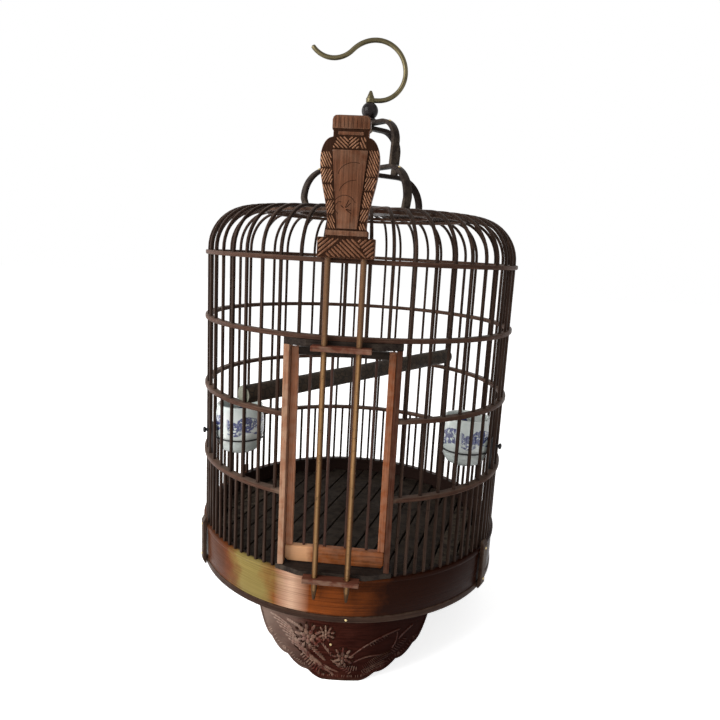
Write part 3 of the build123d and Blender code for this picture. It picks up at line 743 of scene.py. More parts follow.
@once("materials", "Varnished band")
def band_wood(name):
    """Varnished bamboo with long streaks.

    It has a painted yellow reflection to the left of the door, a painted highlight streak in front,
    painted shade at the right and inside, and is brown behind. The limits below are angles round the cage, in
    radians.
    """
    material, tree, shader = new_material(name, roughness=0.34, coat=0.02, specular=0.02)
    colour = tuple(colours().band)
    yellow = tuple(colours().band_reflection)
    grain = use(tree, grain_group(), Stretch=(16, 16, 1500), Low=0.34, High=0.68)
    streak = grain["Grain"]
    paint = blend_colour(tree, streak, shade(colour, 0.45), shade(colour, 1.35))
    paint = blend_colour(tree, times(tree, grain["Blotch"], 0.5), paint, shade(colour, 0.45))
    side = side_angle(tree)
    wander = maths(tree, "MULTIPLY_ADD", place_noise(tree, 60.0), 0.25, side)
    # Painted reflection: a yellow patch to the left of the door
    pale = times(tree, spread(tree, wander, -0.6, -0.44), spread(tree, wander, -0.32, -0.14, 1.0, 0.0))
    paint = blend_colour(tree, pale, paint, blend_colour(tree, streak, shade(yellow, 0.6), yellow))
    paint = blend_colour(tree, spread(tree, wander, -0.7, -0.46, 0.92, 0.0), paint, tone(66, 38, 24))
    # Painted shade at the right of the band
    paint = blend_colour(tree, spread(tree, wander, 0.16, 0.46, 0.0, 0.98), paint, tone(30, 10, 4))
    # Painted highlight: a pale reflection streak down the front of the band
    painted_streak = spread(tree, maths(tree, "ABSOLUTE", maths(tree, "ADD", side, 0.23)), 0.01, 0.11, 0.8, 0.0)
    painted_streak = times(tree, painted_streak, spread(tree, streak, 0.0, 1.0, 0.45, 1.0))
    paint = blend_colour(tree, painted_streak, paint, tone(222, 186, 158))
    back = spread(tree, maths(tree, "ABSOLUTE", side), 1.7, 2.5)
    brown = blend_colour(tree, streak, tone(46, 22, 13), tone(88, 44, 24))
    paint = blend_colour(tree, back, paint, brown)
    # Painted shade on the inside face of the band
    x, y = split(tree, object_place(tree))[:2]
    radius = maths(tree, "SQRT", maths(tree, "ADD", times(tree, x, x), times(tree, y, y)))
    paint = blend_colour(tree, spread(tree, radius, 0.155, 0.158, 1.0, 0.0), paint, tone(42, 30, 26))
    link(tree, paint, shader.inputs["Base Color"])
    link(tree, spread(tree, streak, 0.0, 1.0, 0.24, 0.4), shader.inputs["Roughness"])
    bump(tree, shader, streak, strength=0.22)
    return material


@once("materials", "Carved strokes")
def stroke_wood(name):
    """Strokes of the plaque, paler than the plaque as a painted highlight on the ridges, with more painted
    highlight at its left edge and painted shade on its foot.
    """
    colour = colours().vase
    # Paler than the plaque: a painted highlight on the raised strokes
    base = towards(colour, tone(196, 146, 112), 0.3)
    material = wood(name, base, UPRIGHT, roughness=0.4, coat=0.1)
    tree, socket, paint = opened(material)
    spot = split(tree, object_place(tree))
    # Painted highlight on the strokes at the plaque's left edge
    left_edge = spread(tree, spot["X"], -0.021, -0.017, 0.6, 0.0)
    paint = blend_colour(tree, left_edge, paint, tone(184, 140, 108))
    # Painted shade on the strokes of the plaque's foot
    paint = blend_colour(tree, spread(tree, spot["Z"], 0.396, 0.4, 0.6, 0.0), paint, shade(colour, 0.85))
    link(tree, paint, socket)
    return material


@once("materials", "Pale rods")
def rod_wood(name):
    """Golden cane with a painted highlight down its front and painted shade round its sides, with specks,
    dark tips and a brown top.
    """
    colour = colours().rod
    material = wood(name, colour, (900, 900, 20), roughness=0.34, coat=0.1, contrast=0.4, relief=0.2)
    tree, socket, paint = opened(material)
    spot = split(tree, object_place(tree))
    low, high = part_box("left_rod")
    axis = (low[1] + high[1]) / 2
    # Painted shade round the sides of the rod
    sides = spread(tree, spot["Y"], axis - 2.45 * MM, axis - 1.5 * MM, 0.0, 0.85)
    paint = blend_colour(tree, sides, paint, tone(56, 32, 17))
    # Painted highlight down the front of the rod
    front = spread(tree, spot["Y"], axis - 2.55 * MM, axis - 2.3 * MM, 0.35, 0.0)
    paint = blend_colour(tree, front, paint, tone(190, 150, 104))
    specks = times(tree, spread(tree, place_noise(tree, 420.0, detail=2.0), 0.6, 0.68), 0.6)
    paint = blend_colour(tree, specks, paint, shade(colour, 0.25))
    top = spread(tree, spot["Z"], 0.3, 0.325, 0.0, 0.75)
    paint = blend_colour(tree, top, paint, (0.11, 0.055, 0.03))
    tip = spread(tree, spot["Z"], 0.088, 0.1, 0.7, 0.0)
    paint = blend_colour(tree, tip, paint, shade(colour, 0.2))
    link(tree, paint, socket)
    return material


@once("materials", "Rail wood")
def rail_wood(name):
    """Dark varnish with a painted highlight at its left end."""
    colour = towards(colours().door, tone(120, 62, 16), 0.65)
    values = dict(roughness=0.28, coat=0.15, contrast=0.4, wear=0.3, relief=0.12)
    material = wood(name, colour, ACROSS, **values)
    tree, socket, paint = opened(material)
    across = split(tree, object_place(tree))["X"]
    # Painted highlight at the left end of the rail
    wander = maths(tree, "MULTIPLY_ADD", place_noise(tree, 90.0), 0.012, across)
    painted_end_highlight = spread(tree, wander, -0.02, -0.012, 0.72, 0.0)
    paint = blend_colour(tree, painted_end_highlight, paint, tone(220, 168, 124))
    link(tree, paint, socket)
    return material


@once("materials", "Bark")
def bark(name):
    """Uneven bark with dark cracks."""
    material, tree, shader = new_material(name, roughness=0.7, specular=0.2)
    colour = colours().bough
    cells = tree.nodes.new("ShaderNodeTexVoronoi")
    cells.feature = "DISTANCE_TO_EDGE"
    cells.inputs["Scale"].default_value = 170.0
    link(tree, object_place(tree), cells.inputs["Vector"])
    crack = spread(tree, cells.outputs["Distance"], 0.0, 0.12)
    patches = spread(tree, place_noise(tree, 120.0, detail=5.0), 0.35, 0.65)
    paint = blend_colour(tree, patches, shade(colour, 0.7), shade(colour, 1.35))
    link(tree, blend_colour(tree, crack, shade(colour, 0.3), paint), shader.inputs["Base Color"])
    height = maths(tree, "MULTIPLY_ADD", patches, 0.6, crack)
    bump(tree, shader, height, strength=0.3, distance=0.0005)
    return material


@once("materials", "Cut end")
def bough_end(name):
    """A cut end with rings about the perch's heart."""
    material, tree, shader = new_material(name, roughness=0.65)
    colour = colours().bough_end
    rings = tree.nodes.new("ShaderNodeTexWave")
    rings.wave_type = "RINGS"
    rings.rings_direction = "SPHERICAL"
    rings.inputs["Scale"].default_value = 190.0
    rings.inputs["Distortion"].default_value = 1.5
    rings.inputs["Detail"].default_value = 2.0
    link(tree, moved_place(tree, PERCH_NEAR), rings.inputs["Vector"])
    spots = times(tree, spread(tree, place_noise(tree, 300.0), 0.35, 0.65), 0.35)
    paint = blend_colour(tree, rings.outputs["Fac"], shade(colour, 0.7), shade(colour, 1.1))
    link(tree, blend_colour(tree, spots, paint, shade(colour, 0.55)), shader.inputs["Base Color"])
    bump(tree, shader, rings.outputs["Fac"], strength=0.2)
    return material


def metal(name, colour, roughness, metallic=1.0, patina=0.5):
    """Drawn metal with patches of dull patina and fine scratches."""
    if name in bpy.data.materials:
        return bpy.data.materials[name]
    material, tree, shader = new_material(name, roughness, metallic=metallic)
    patches = spread(tree, place_noise(tree, 85.0, detail=6.0, roughness=0.6), 0.38, 0.66)
    fine = spread(tree, place_noise(tree, 900.0, detail=3.0), 0.3, 0.7)
    paint = blend_colour(tree, times(tree, patches, patina), tuple(colour), shade(colour, 0.38))
    link(tree, paint, shader.inputs["Base Color"])
    mixed = maths(tree, "MULTIPLY_ADD", fine, 0.4, times(tree, patches, 0.6))
    link(tree, spread(tree, mixed, 0.0, 1.0, roughness - 0.06, roughness + 0.16), shader.inputs["Roughness"])
    bump(tree, shader, fine, strength=0.06, distance=0.0002)
    return material


def brass():
    return metal("Aged brass", colours().brass, roughness=0.34)


def pin_brass():
    colour = towards(colours().brass, tone(214, 190, 140), 0.7)
    return metal("Bright pins", colour, roughness=0.3, patina=0.3)


def black_wire():
    return metal("Blackened wire", colours().wire, roughness=0.45, metallic=0.6, patina=0.4)


@once("materials", "Polished bead")
def bead_finish(name):
    """Polished dark bead with faint cloudy bands."""
    material, tree, shader = new_material(name, roughness=0.25, specular=0.12)
    colour = colours().bead
    clouds = spread(tree, place_noise(tree, 150.0), 0.35, 0.7)
    paint = blend_colour(tree, clouds, shade(colour, 0.6), shade(colour, 1.8))
    link(tree, paint, shader.inputs["Base Color"])
    link(tree, spread(tree, clouds, 0.0, 1.0, 0.2, 0.3), shader.inputs["Roughness"])
    return material


def porcelain(name, centre):
    """White glaze over blue brushwork, centred on one cup."""
    material, tree, shader = new_material(name, roughness=0.16, coat=0.6)
    paint = use(tree, brushwork_group(), Place=moved_place(tree, centre))["Paint"]
    glaze = tuple(colours().glaze)
    brush = tuple(colours().brush)
    crackle = spread(tree, place_noise(tree, 55.0, detail=3.0), 0.3, 0.7)
    ground = blend_colour(tree, crackle, glaze, towards(glaze, tone(168, 190, 184), 0.5))
    rich = blend_colour(tree, crackle, brush, shade(brush, 0.55))
    link(tree, blend_colour(tree, paint, ground, rich), shader.inputs["Base Color"])
    link(tree, spread(tree, crackle, 0.0, 1.0, 0.12, 0.2), shader.inputs["Roughness"])
    return material


# Perch and cup places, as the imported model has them
PERCH_NEAR = place(-5.2 * PITCH, 155.7 * MM, 254.8 * MM)
PERCH_FAR = place(20 * PITCH, 158.3 * MM, 262.0 * MM)
CUP_PLACES = {"left": (-9.5 * PITCH, 126 * MM), "right": (10.5 * PITCH, 126 * MM)}


class CAGE_OT_splints(bpy.types.Operator):
    """Bends one splint and copies it round the cage and over the doorway, with short ones between"""

    bl_idname = "cage.splints"
    bl_label = "Splints"

    def straight(self, bottom, top):
        """An upright piece, left in edit mode with its upper end selected."""
        half = sizes().splint / 2
        obj = loop(section((BAR_CIRCLE, 0, bottom), half, half, sizes().round_over))
        edit(obj)
        run_on((0, 0, top - bottom))
        return obj

    def bent(self, bottom):
        obj = self.straight(bottom, SHOULDER)
        bend_on(-BEND_ANGLE, (BAR_CIRCLE - BEND, 0, SHOULDER), (0, 1, 0), 12)
        run_on((BOSS_REACH - DOME_EDGE, 0, (DOME_EDGE - BOSS_REACH) * tan(RISE)))
        return close_up(obj)

    def execute(self, context):
        finish = plain_wood("splint")
        wall = copies_round(self.bent(LIP_TOP), DOOR_SIDE + 3 * PITCH, PITCH, WALL_BARS)
        dress(wall, "main_splints", "cage", finish, "bamboo", "wall_bars")
        head = copies_round(self.bent(HEAD_BOTTOM), DOOR_SIDE - 2 * PITCH, PITCH, DOORWAY_BARS)
        dress(head, "doorway_splints", "cage", finish, "bamboo", "door_head_bars")
        low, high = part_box("short_bars")
        short = close_up(self.straight(low[2], high[2]))
        copies_round(short, DOOR_SIDE + 3.5 * PITCH, PITCH, WALL_BARS - 1)
        dress(short, "short_splints", "cage", finish, "bamboo", "short_bars")
        return {"FINISHED"}


class CAGE_OT_hoops(bpy.types.Operator):
    """Turns the four hoops, two of which stop at the jambs"""

    bl_idname = "cage.hoops"
    bl_label = "Hoops"

    inner, outer = 153.6 * MM, 161.0 * MM
    jamb_angle = asin(50.0 / 160.0)

    def profile(self, bottom, top):
        """A section with a softly rounded outside."""
        inner, outer, corner = self.inner, self.outer, sizes().hoop_round
        cut = corner * 0.3
        return [
            (inner + corner, bottom), (outer - corner, bottom), (outer - cut, bottom + cut),
            (outer, bottom + corner), (outer, top - corner), (outer - cut, top - cut),
            (outer - corner, top), (inner + corner, top), (inner, top - corner), (inner, bottom + corner),
        ]

    def execute(self, context):
        for node in ("top_hoop", "upper_hoop", "middle_hoop", "lower_hoop"):
            low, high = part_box(node)
            profile = self.profile(low[2], high[2])
            if node in ("top_hoop", "upper_hoop"):
                obj = ring(profile, steps=156)
            else:
                start, sweep = DOOR_SIDE + self.jamb_angle, 2 * pi - 2 * self.jamb_angle
                obj = ring(profile, steps=140, start=start, sweep=sweep)
            dress(obj, node + "_strip", "cage", plain_wood("hoop"), "bamboo", node)
        return {"FINISHED"}


class CAGE_OT_base(bpy.types.Operator):
    """Turns the band, its lip and rim, and finishes the floor and the cleats"""

    bl_idname = "cage.base"
    bl_label = "Base"

    # Sections in millimetres: radius and distance over the lower edge, then under the upper edge
    sections = {
        "base_band": (
            ((154.0, 0), (159.3, 0), (159.8, 0.2), (160.0, 0.7)),
            ((160.0, 0.7), (159.8, 0.2), (159.3, 0), (154.0, 0)),
        ),
        "band_lip": (
            ((152.7, 0), (160.4, 0), (161.0, 0.3), (161.2, 1.0)),
            ((161.2, 1.4), (160.8, 0.5), (160.0, 0), (152.7, 0)),
        ),
        "base_rim": (
            ((151.8, 0), (159.9, 0), (160.6, 0.3), (160.8, 1.2)),
            ((160.8, 1.4), (160.5, 0.4), (159.9, 0), (151.8, 0)),
        ),
    }

    def strip(self, node):
        low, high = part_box(node)
        under, over = self.sections[node]
        profile = [(radius * MM, low[2] + rise * MM) for radius, rise in under]
        profile += [(radius * MM, high[2] - drop * MM) for radius, drop in over]
        return ring(profile, steps=180)

    def execute(self, context):
        dress(self.strip("base_band"), "varnished_band", "cage", band_wood(), "band_wood", "base_band")
        dress(self.strip("band_lip"), "lip_strip", "cage", band_wood(), "band_wood", "band_lip")
        dress(self.strip("base_rim"), "rim_strip", "cage", plain_wood("rim"), "rim_wood", "base_rim")
        floor = {"floor_slats": 0.5, "floor_bearers": 0.5, "bottom_board": 0.4, "floor_ledge": 0.4}
        for node, width in floor.items():
            soften(node, plain_wood("floor"), width * MM)
        for node in ("right_front_cleat", "right_back_cleat", "left_back_cleat", "left_front_cleat"):
            soften(node, plain_wood("rim"), 0.9 * MM)
        return {"FINISHED"}


def foot_edge(across):
    """Height of a foot's scalloped lower edge at a distance from its middle, in millimetres."""
    across = abs(across)
    sides = [79.0 * share for share in (1.0, 0.83, 0.63, 0.39)] + [11.0]
    heights = [FOOT_TOP * share for share in (1.0, 0.54, 0.324, 0.135)] + [0.0]
    if across <= sides[-1]:
        return 0.0
    for index in range(len(sides) - 1):
        if across >= sides[index + 1]:
            run = sides[index] - sides[index + 1]
            climb = heights[index] - heights[index + 1]
            chord = sqrt(run**2 + climb**2)
            share = (across - sides[index + 1]) / run
            swell = 2.6 * 4 * share * (1 - share) * chord / run
            return max(heights[index + 1] + climb * share - swell, 0.0)
    return FOOT_TOP


def ridge_seed(blunt=1.0):
    """One small carved stroke: a ball primitive, 1 long, 1 wide and 1 high.

    A bluntness below 1 squares its ends.
    """
    clear()
    bpy.ops.mesh.primitive_uv_sphere_add(segments=10, ring_count=6, radius=0.5)
    obj = bpy.context.object
    edit(obj)
    bpy.ops.transform.rotate(value=pi / 2, orient_axis="Y", center_override=(0, 0, 0))
    bpy.ops.mesh.select_all(action="DESELECT")
    bpy.ops.object.mode_set(mode="OBJECT")
    for vertex in obj.data.vertices:
        vertex.co.x = copysign(0.5 * abs(2 * vertex.co.x) ** blunt, vertex.co.x)
    bpy.ops.object.shade_smooth()
    return obj


class CAGE_OT_feet(bpy.types.Operator):
    """Shapes one scalloped foot, carves it and copies it under the rim"""

    bl_idname = "cage.feet"
    bl_label = "Feet"

    outside = 158.5
    turns = {"front_foot": 4.5, "right_foot": 124.5, "left_foot": 244.5}
    # Flowers: across, height, radius, petals and twist. All of the carving is in millimetres and radians
    flowers = ((-31, 41, 9.5, 7, 0.2), (-15, 46, 6.0, 6, 0.6), (1, 23, 7.4, 6, 0.5))
    # Rows of strokes: start, end, count, length, lean of the first, turn along the row, width
    combs = (
        ((-45, 37), (-35, 32), 9, 6.5, 1.25, 0.2, 1.0),
        ((-50, 53), (-38, 49), 7, 8.0, -0.75, 0.2, 1.5),
        ((-24, 33), (-12, 50), 6, 6.0, 0.5, 0.6, 1.3),
        ((-36, 22), (-20, 8), 9, 7.5, 0.75, 0.5, 1.5),
        ((-28, 32), (-16, 20), 8, 6.5, 0.2, -0.5, 1.3),
        ((-8, 20), (8, 8), 9, 5.5, -0.2, 0.9, 1.2),
        ((-20, 38), (-10, 26), 6, 7.0, -0.9, -0.5, 1.3),
        ((-14, 13), (-4, 9), 6, 7.5, -0.8, 0.5, 1.3),
        ((3, 13), (14, 12), 6, 6.0, 1.0, 0.5, 1.2),
        ((21, 12.5), (43, 26), 15, 8.5, -1.15, 0.75, 0.95),
        ((20, 8.5), (40, 18), 12, 6.0, -0.9, 0.6, 1.0),
        ((46, 26), (58, 38), 8, 7.0, -0.7, 0.4, 1.0),
        ((53, 41), (63, 50), 7, 8.0, 0.95, -0.3, 1.0),
        ((26, 36), (40, 44), 7, 5.0, -0.9, 0.3, 0.8),
    )
    # Rows of cuts in painted shade, in the same columns as the rows of strokes
    cut_combs = (
        ((-43.5, 38.0), (-33.5, 33.0), 9, 5.0, 1.25, 0.2, 0.8),
        ((22, 14), (44, 27.5), 15, 6.0, -1.15, 0.75, 0.7),
    )
    # Stems and leaves: start, end, sag, width, rise and parts
    stems = (
        ((9, 25), (52, 49), 3.0, 1.3, 0.8, 12),
        ((46, 31), (50, 46), -1.5, 1.2, 0.8, 5),
        ((12, 19), (36, 25), 2.0, 1.2, 0.7, 7),
    )

    def panel(self):
        """A grid primitive with a scalloped lower edge, bent, dished inside its border and thickened."""
        clear()
        half_width, border, dish, thickness = 78.9, 3.2, 1.1, 6.4
        bpy.ops.mesh.primitive_grid_add(x_subdivisions=120, y_subdivisions=24, size=2)
        obj = bpy.context.object
        for vertex in obj.data.vertices:
            across = vertex.co.x * half_width
            low = foot_edge(across)
            over = (FOOT_TOP - low) * (vertex.co.y + 1) / 2
            sunk = dish * min(1.0, over / 5.0) if over > border else 0.35 * (border - over) / border
            radius = self.outside - sunk
            vertex.co = (across * MM, -sqrt(radius**2 - across**2) * MM, (low + over) * MM)
        edit(obj)
        bpy.ops.mesh.normals_make_consistent(inside=False)
        thicken(obj, (0, thickness * MM, 0))
        bpy.ops.object.shade_smooth_by_angle(angle=radians(40))
        return obj

    def stroke(self, across, height, length, width, lean, rise):
        """Places one ridge on the front of the foot."""
        radius = self.outside - 1.0
        spot = Vector((across, -sqrt(radius**2 - across**2), height)) * MM
        turn = asin(across / radius)
        upright = Matrix.Rotation(turn, 4, "Z") @ Matrix.Rotation(-lean, 4, "Y")
        scale = Matrix.Diagonal((length * MM, 2.6 * rise * MM, width * 1.15 * MM, 1))
        return Matrix.Translation(spot) @ upright @ scale

    def petal(self, flower, share, angle, length, width, rise):
        """One stroke of a flower, at a share of its radius and an angle; its size is a share too."""
        across, height, radius = flower[:3]
        x = across + cos(angle) * radius * share
        z = height + sin(angle) * radius * share
        return self.stroke(x, z, radius * length, radius * width, angle, rise)

    def bloom(self, flower):
        """A flower: a heart, petals, and smaller petals round them."""
        across, height, radius, petals, twist = flower
        strokes = [self.stroke(across, height, radius * 0.4, radius * 0.4, 0, rise=1.5)]
        for row, (share, length, width) in enumerate(((0.52, 0.62, 0.4), (1.05, 0.7, 0.3))):
            count = petals + 3 * row
            for index in range(count):
                angle = twist + 2 * pi * (index + 0.5 * row) / count
                strokes.append(self.petal(flower, share, angle, length, width, rise=1.3 - 0.3 * row))
        return strokes

    def comb(self, start, end, count, length, lean, turn, width):
        """A row of strokes side by side, whose lean changes along the row."""
        strokes = []
        for index in range(count):
            share = index / (count - 1)
            x = start[0] + (end[0] - start[0]) * share
            z = start[1] + (end[1] - start[1]) * share
            size = length * (0.7 + 0.6 * share * (1 - share) * 2)
            strokes.append(self.stroke(x, z, size, width, lean + turn * share, rise=0.8))
        return strokes

    def stem(self, start, end, sag, width, rise, parts):
        """A long bent stroke, made of short ones."""
        strokes = []
        run = (end[0] - start[0], end[1] - start[1])
        length = sqrt(run[0] ** 2 + run[1] ** 2)
        for index in range(parts):
            share = (index + 0.5) / parts
            bow = 4 * sag * share * (1 - share)
            lean = atan2(run[1], run[0]) + atan2(4 * sag * (1 - 2 * share), length)
            x = start[0] + run[0] * share - run[1] / length * bow
            z = start[1] + run[1] * share + run[0] / length * bow
            strokes.append(self.stroke(x, z, length / parts * 1.6, width, lean, rise))
        return strokes

    def fringe(self):
        """Short strokes side by side along the scalloped edge."""
        count, reach = 96, 71
        strokes = []
        for index in range(count):
            across = -reach + 2 * reach * index / (count - 1)
            low = foot_edge(across)
            slope = atan2(foot_edge(across + 1) - foot_edge(across - 1), 2)
            lean = slope + pi / 2 + 0.25 * sin(index * 0.6)
            length = 4.0 + 1.2 * sin(index * 2.1)
            x = across + cos(lean) * (1.0 + length / 2)
            z = low + sin(lean) * (1.0 + length / 2)
            if z + length / 2 < FOOT_TOP - 3 and abs(x) < 73:
                strokes.append(self.stroke(x, z, length, width=0.8, lean=lean, rise=0.5))
        return strokes

    def carving(self):
        """The raised strokes: flowers, rows, stems, leaves and the fringe."""
        strokes = []
        for flower in self.flowers:
            strokes += self.bloom(flower)
        for comb in self.combs:
            strokes += self.comb(*comb)
        stems = list(self.stems)
        for index in range(8):
            x, z = -67 + index * 3.0, 55 - index * 3.4
            stems.append(((x, z), (x + 20 - index, z - 9), 1.6, 1.6, 0.9, 6))
            x, z = -46 + index * 3.6, 33 - index * 3.0
            stems.append(((x, z), (x + 14, z - 6.5), 1.2, 1.9, 1.1, 5))
        for stem in stems:
            strokes += self.stem(*stem)
        return strokes + self.fringe()

    def cuts(self):
        """Cuts between the petals and beside the leaves, as raised strokes dark with painted shade."""
        strokes = []
        for flower in self.flowers:
            count = 2 * flower[3]
            for index in range(count):
                angle = flower[4] + 2 * pi * (index + 0.5) / count
                for share, length, width in ((0.62, 0.34, 0.16), (1.3, 0.4, 0.2)):
                    strokes.append(self.petal(flower, share, angle, length, width, rise=0.75))
        for index in range(8):
            x, z = -42 + index * 3.6, 28 - index * 3.0
            strokes.append(self.stroke(x, z, length=6.0, width=1.3, lean=-0.5, rise=0.6))
            strokes.append(self.stroke(x + 8, z - 3.2, length=4.5, width=1.0, lean=-0.3, rise=0.6))
        for comb in self.cut_combs:
            strokes += self.comb(*comb)
        return strokes

    def execute(self, context):
        panel = self.panel()
        carving = scatter(ridge_seed(), self.carving())
        cuts = scatter(ridge_seed(), self.cuts())
        for node, turn in self.turns.items():
            matrix = Matrix.Rotation(radians(turn), 4, "Z")
            body = settle(copy_of(panel, matrix))
            dress(body, node + "_panel", "cage", plain_wood("foot"), "carved_wood", node)
            relief = settle(copy_of(carving, matrix))
            dress(relief, node + "_carving", "cage", foot_stroke_wood(), "carved_wood")
            hollows = settle(copy_of(cuts, matrix))
            dress(hollows, node + "_cuts", "cage", groove_shade_wood(), "carved_wood")
        for piece in (panel, carving, cuts):
            bpy.data.objects.remove(piece)
        return {"FINISHED"}


class CAGE_OT_dome(bpy.types.Operator):
    """Turns the boss and the two rings under the dome's splints"""

    bl_idname = "cage.dome"
    bl_label = "Dome"

    def execute(self, context):
        low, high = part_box("top_boss")
        base, top = low[2] / MM, high[2] / MM
        profile = [
            (0, base), (30.6, base), (31.6, base + 0.4), (31.9, base + 1.4), (31.9, top - 3.2),
            (31.5, top - 1.9), (30.4, top - 0.9), (27.5, top - 0.3), (22, top), (0, top),
        ]
        boss = lathe(profile, steps=72)
        dress(boss, "boss_disc", "cage", plain_wood("bow"), "hanger_bamboo", "top_boss")
        for node, middle in (("dome_ring_inner", 69.7), ("dome_ring_outer", 103.4)):
            low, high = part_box(node)
            bottom, top = low[2], high[2]
            inner, outer, corner = (middle - 2.5) * MM, (middle + 2.4) * MM, 0.7 * MM
            profile = [
                (inner + corner, bottom), (outer - corner, bottom), (outer, bottom + corner),
                (outer, top - corner), (outer - corner, top), (inner + corner, top),
                (inner, top - corner), (inner, bottom + corner),
            ]
            strip = ring(profile, steps=104)
            dress(strip, node + "_strip", "cage", plain_wood("hoop"), "bamboo", node)
        return {"FINISHED"}


class CAGE_OT_doorway(bpy.types.Operator):
    """Finishes the header, the sill, the jambs and the two guides"""

    bl_idname = "cage.doorway"
    bl_label = "Doorway"

    def execute(self, context):
        finishes = {
            "door_header": "board", "door_sill": "board", "left_jamb": "jamb", "right_jamb": "dark_jamb",
            "upper_guide": "guide", "lower_guide": "guide",
        }
        for node, key in finishes.items():
            soften(node, plain_wood(key), sizes().wood_round)
        return {"FINISHED"}


class CAGE_OT_door(bpy.types.Operator):
    """Finishes the door's frame and rounds its bars"""

    bl_idname = "cage.door"
    bl_label = "Door"

    def execute(self, context):
        width = sizes().wood_round
        soften("door_left_stile", lit_stile_wood(), width)
        soften("door_right_stile", plain_wood("door"), width)
        soften("door_bottom_rail", rail_wood(), 1.0 * MM)
        soften("door_top_rail", plain_wood("board"), width)
        low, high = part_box("door_bars")
        middle = (low[1] + high[1]) / 2
        half, corner, count = 1.3 * MM, 0.7 * MM, 4
        bars = []
        for index in range(count):
            x = low[0] + half + (high[0] - low[0] - 2 * half) * index / (count - 1)
            obj = loop(section((x, middle, low[2]), half, half, corner))
            edit(obj)
            run_on((0, 0, high[2] - low[2]))
            bars.append(close_up(obj))
        dress(join(bars), "door_splints", "door", plain_wood("door_bar"), "bamboo", "door_bars")
        return {"FINISHED"}


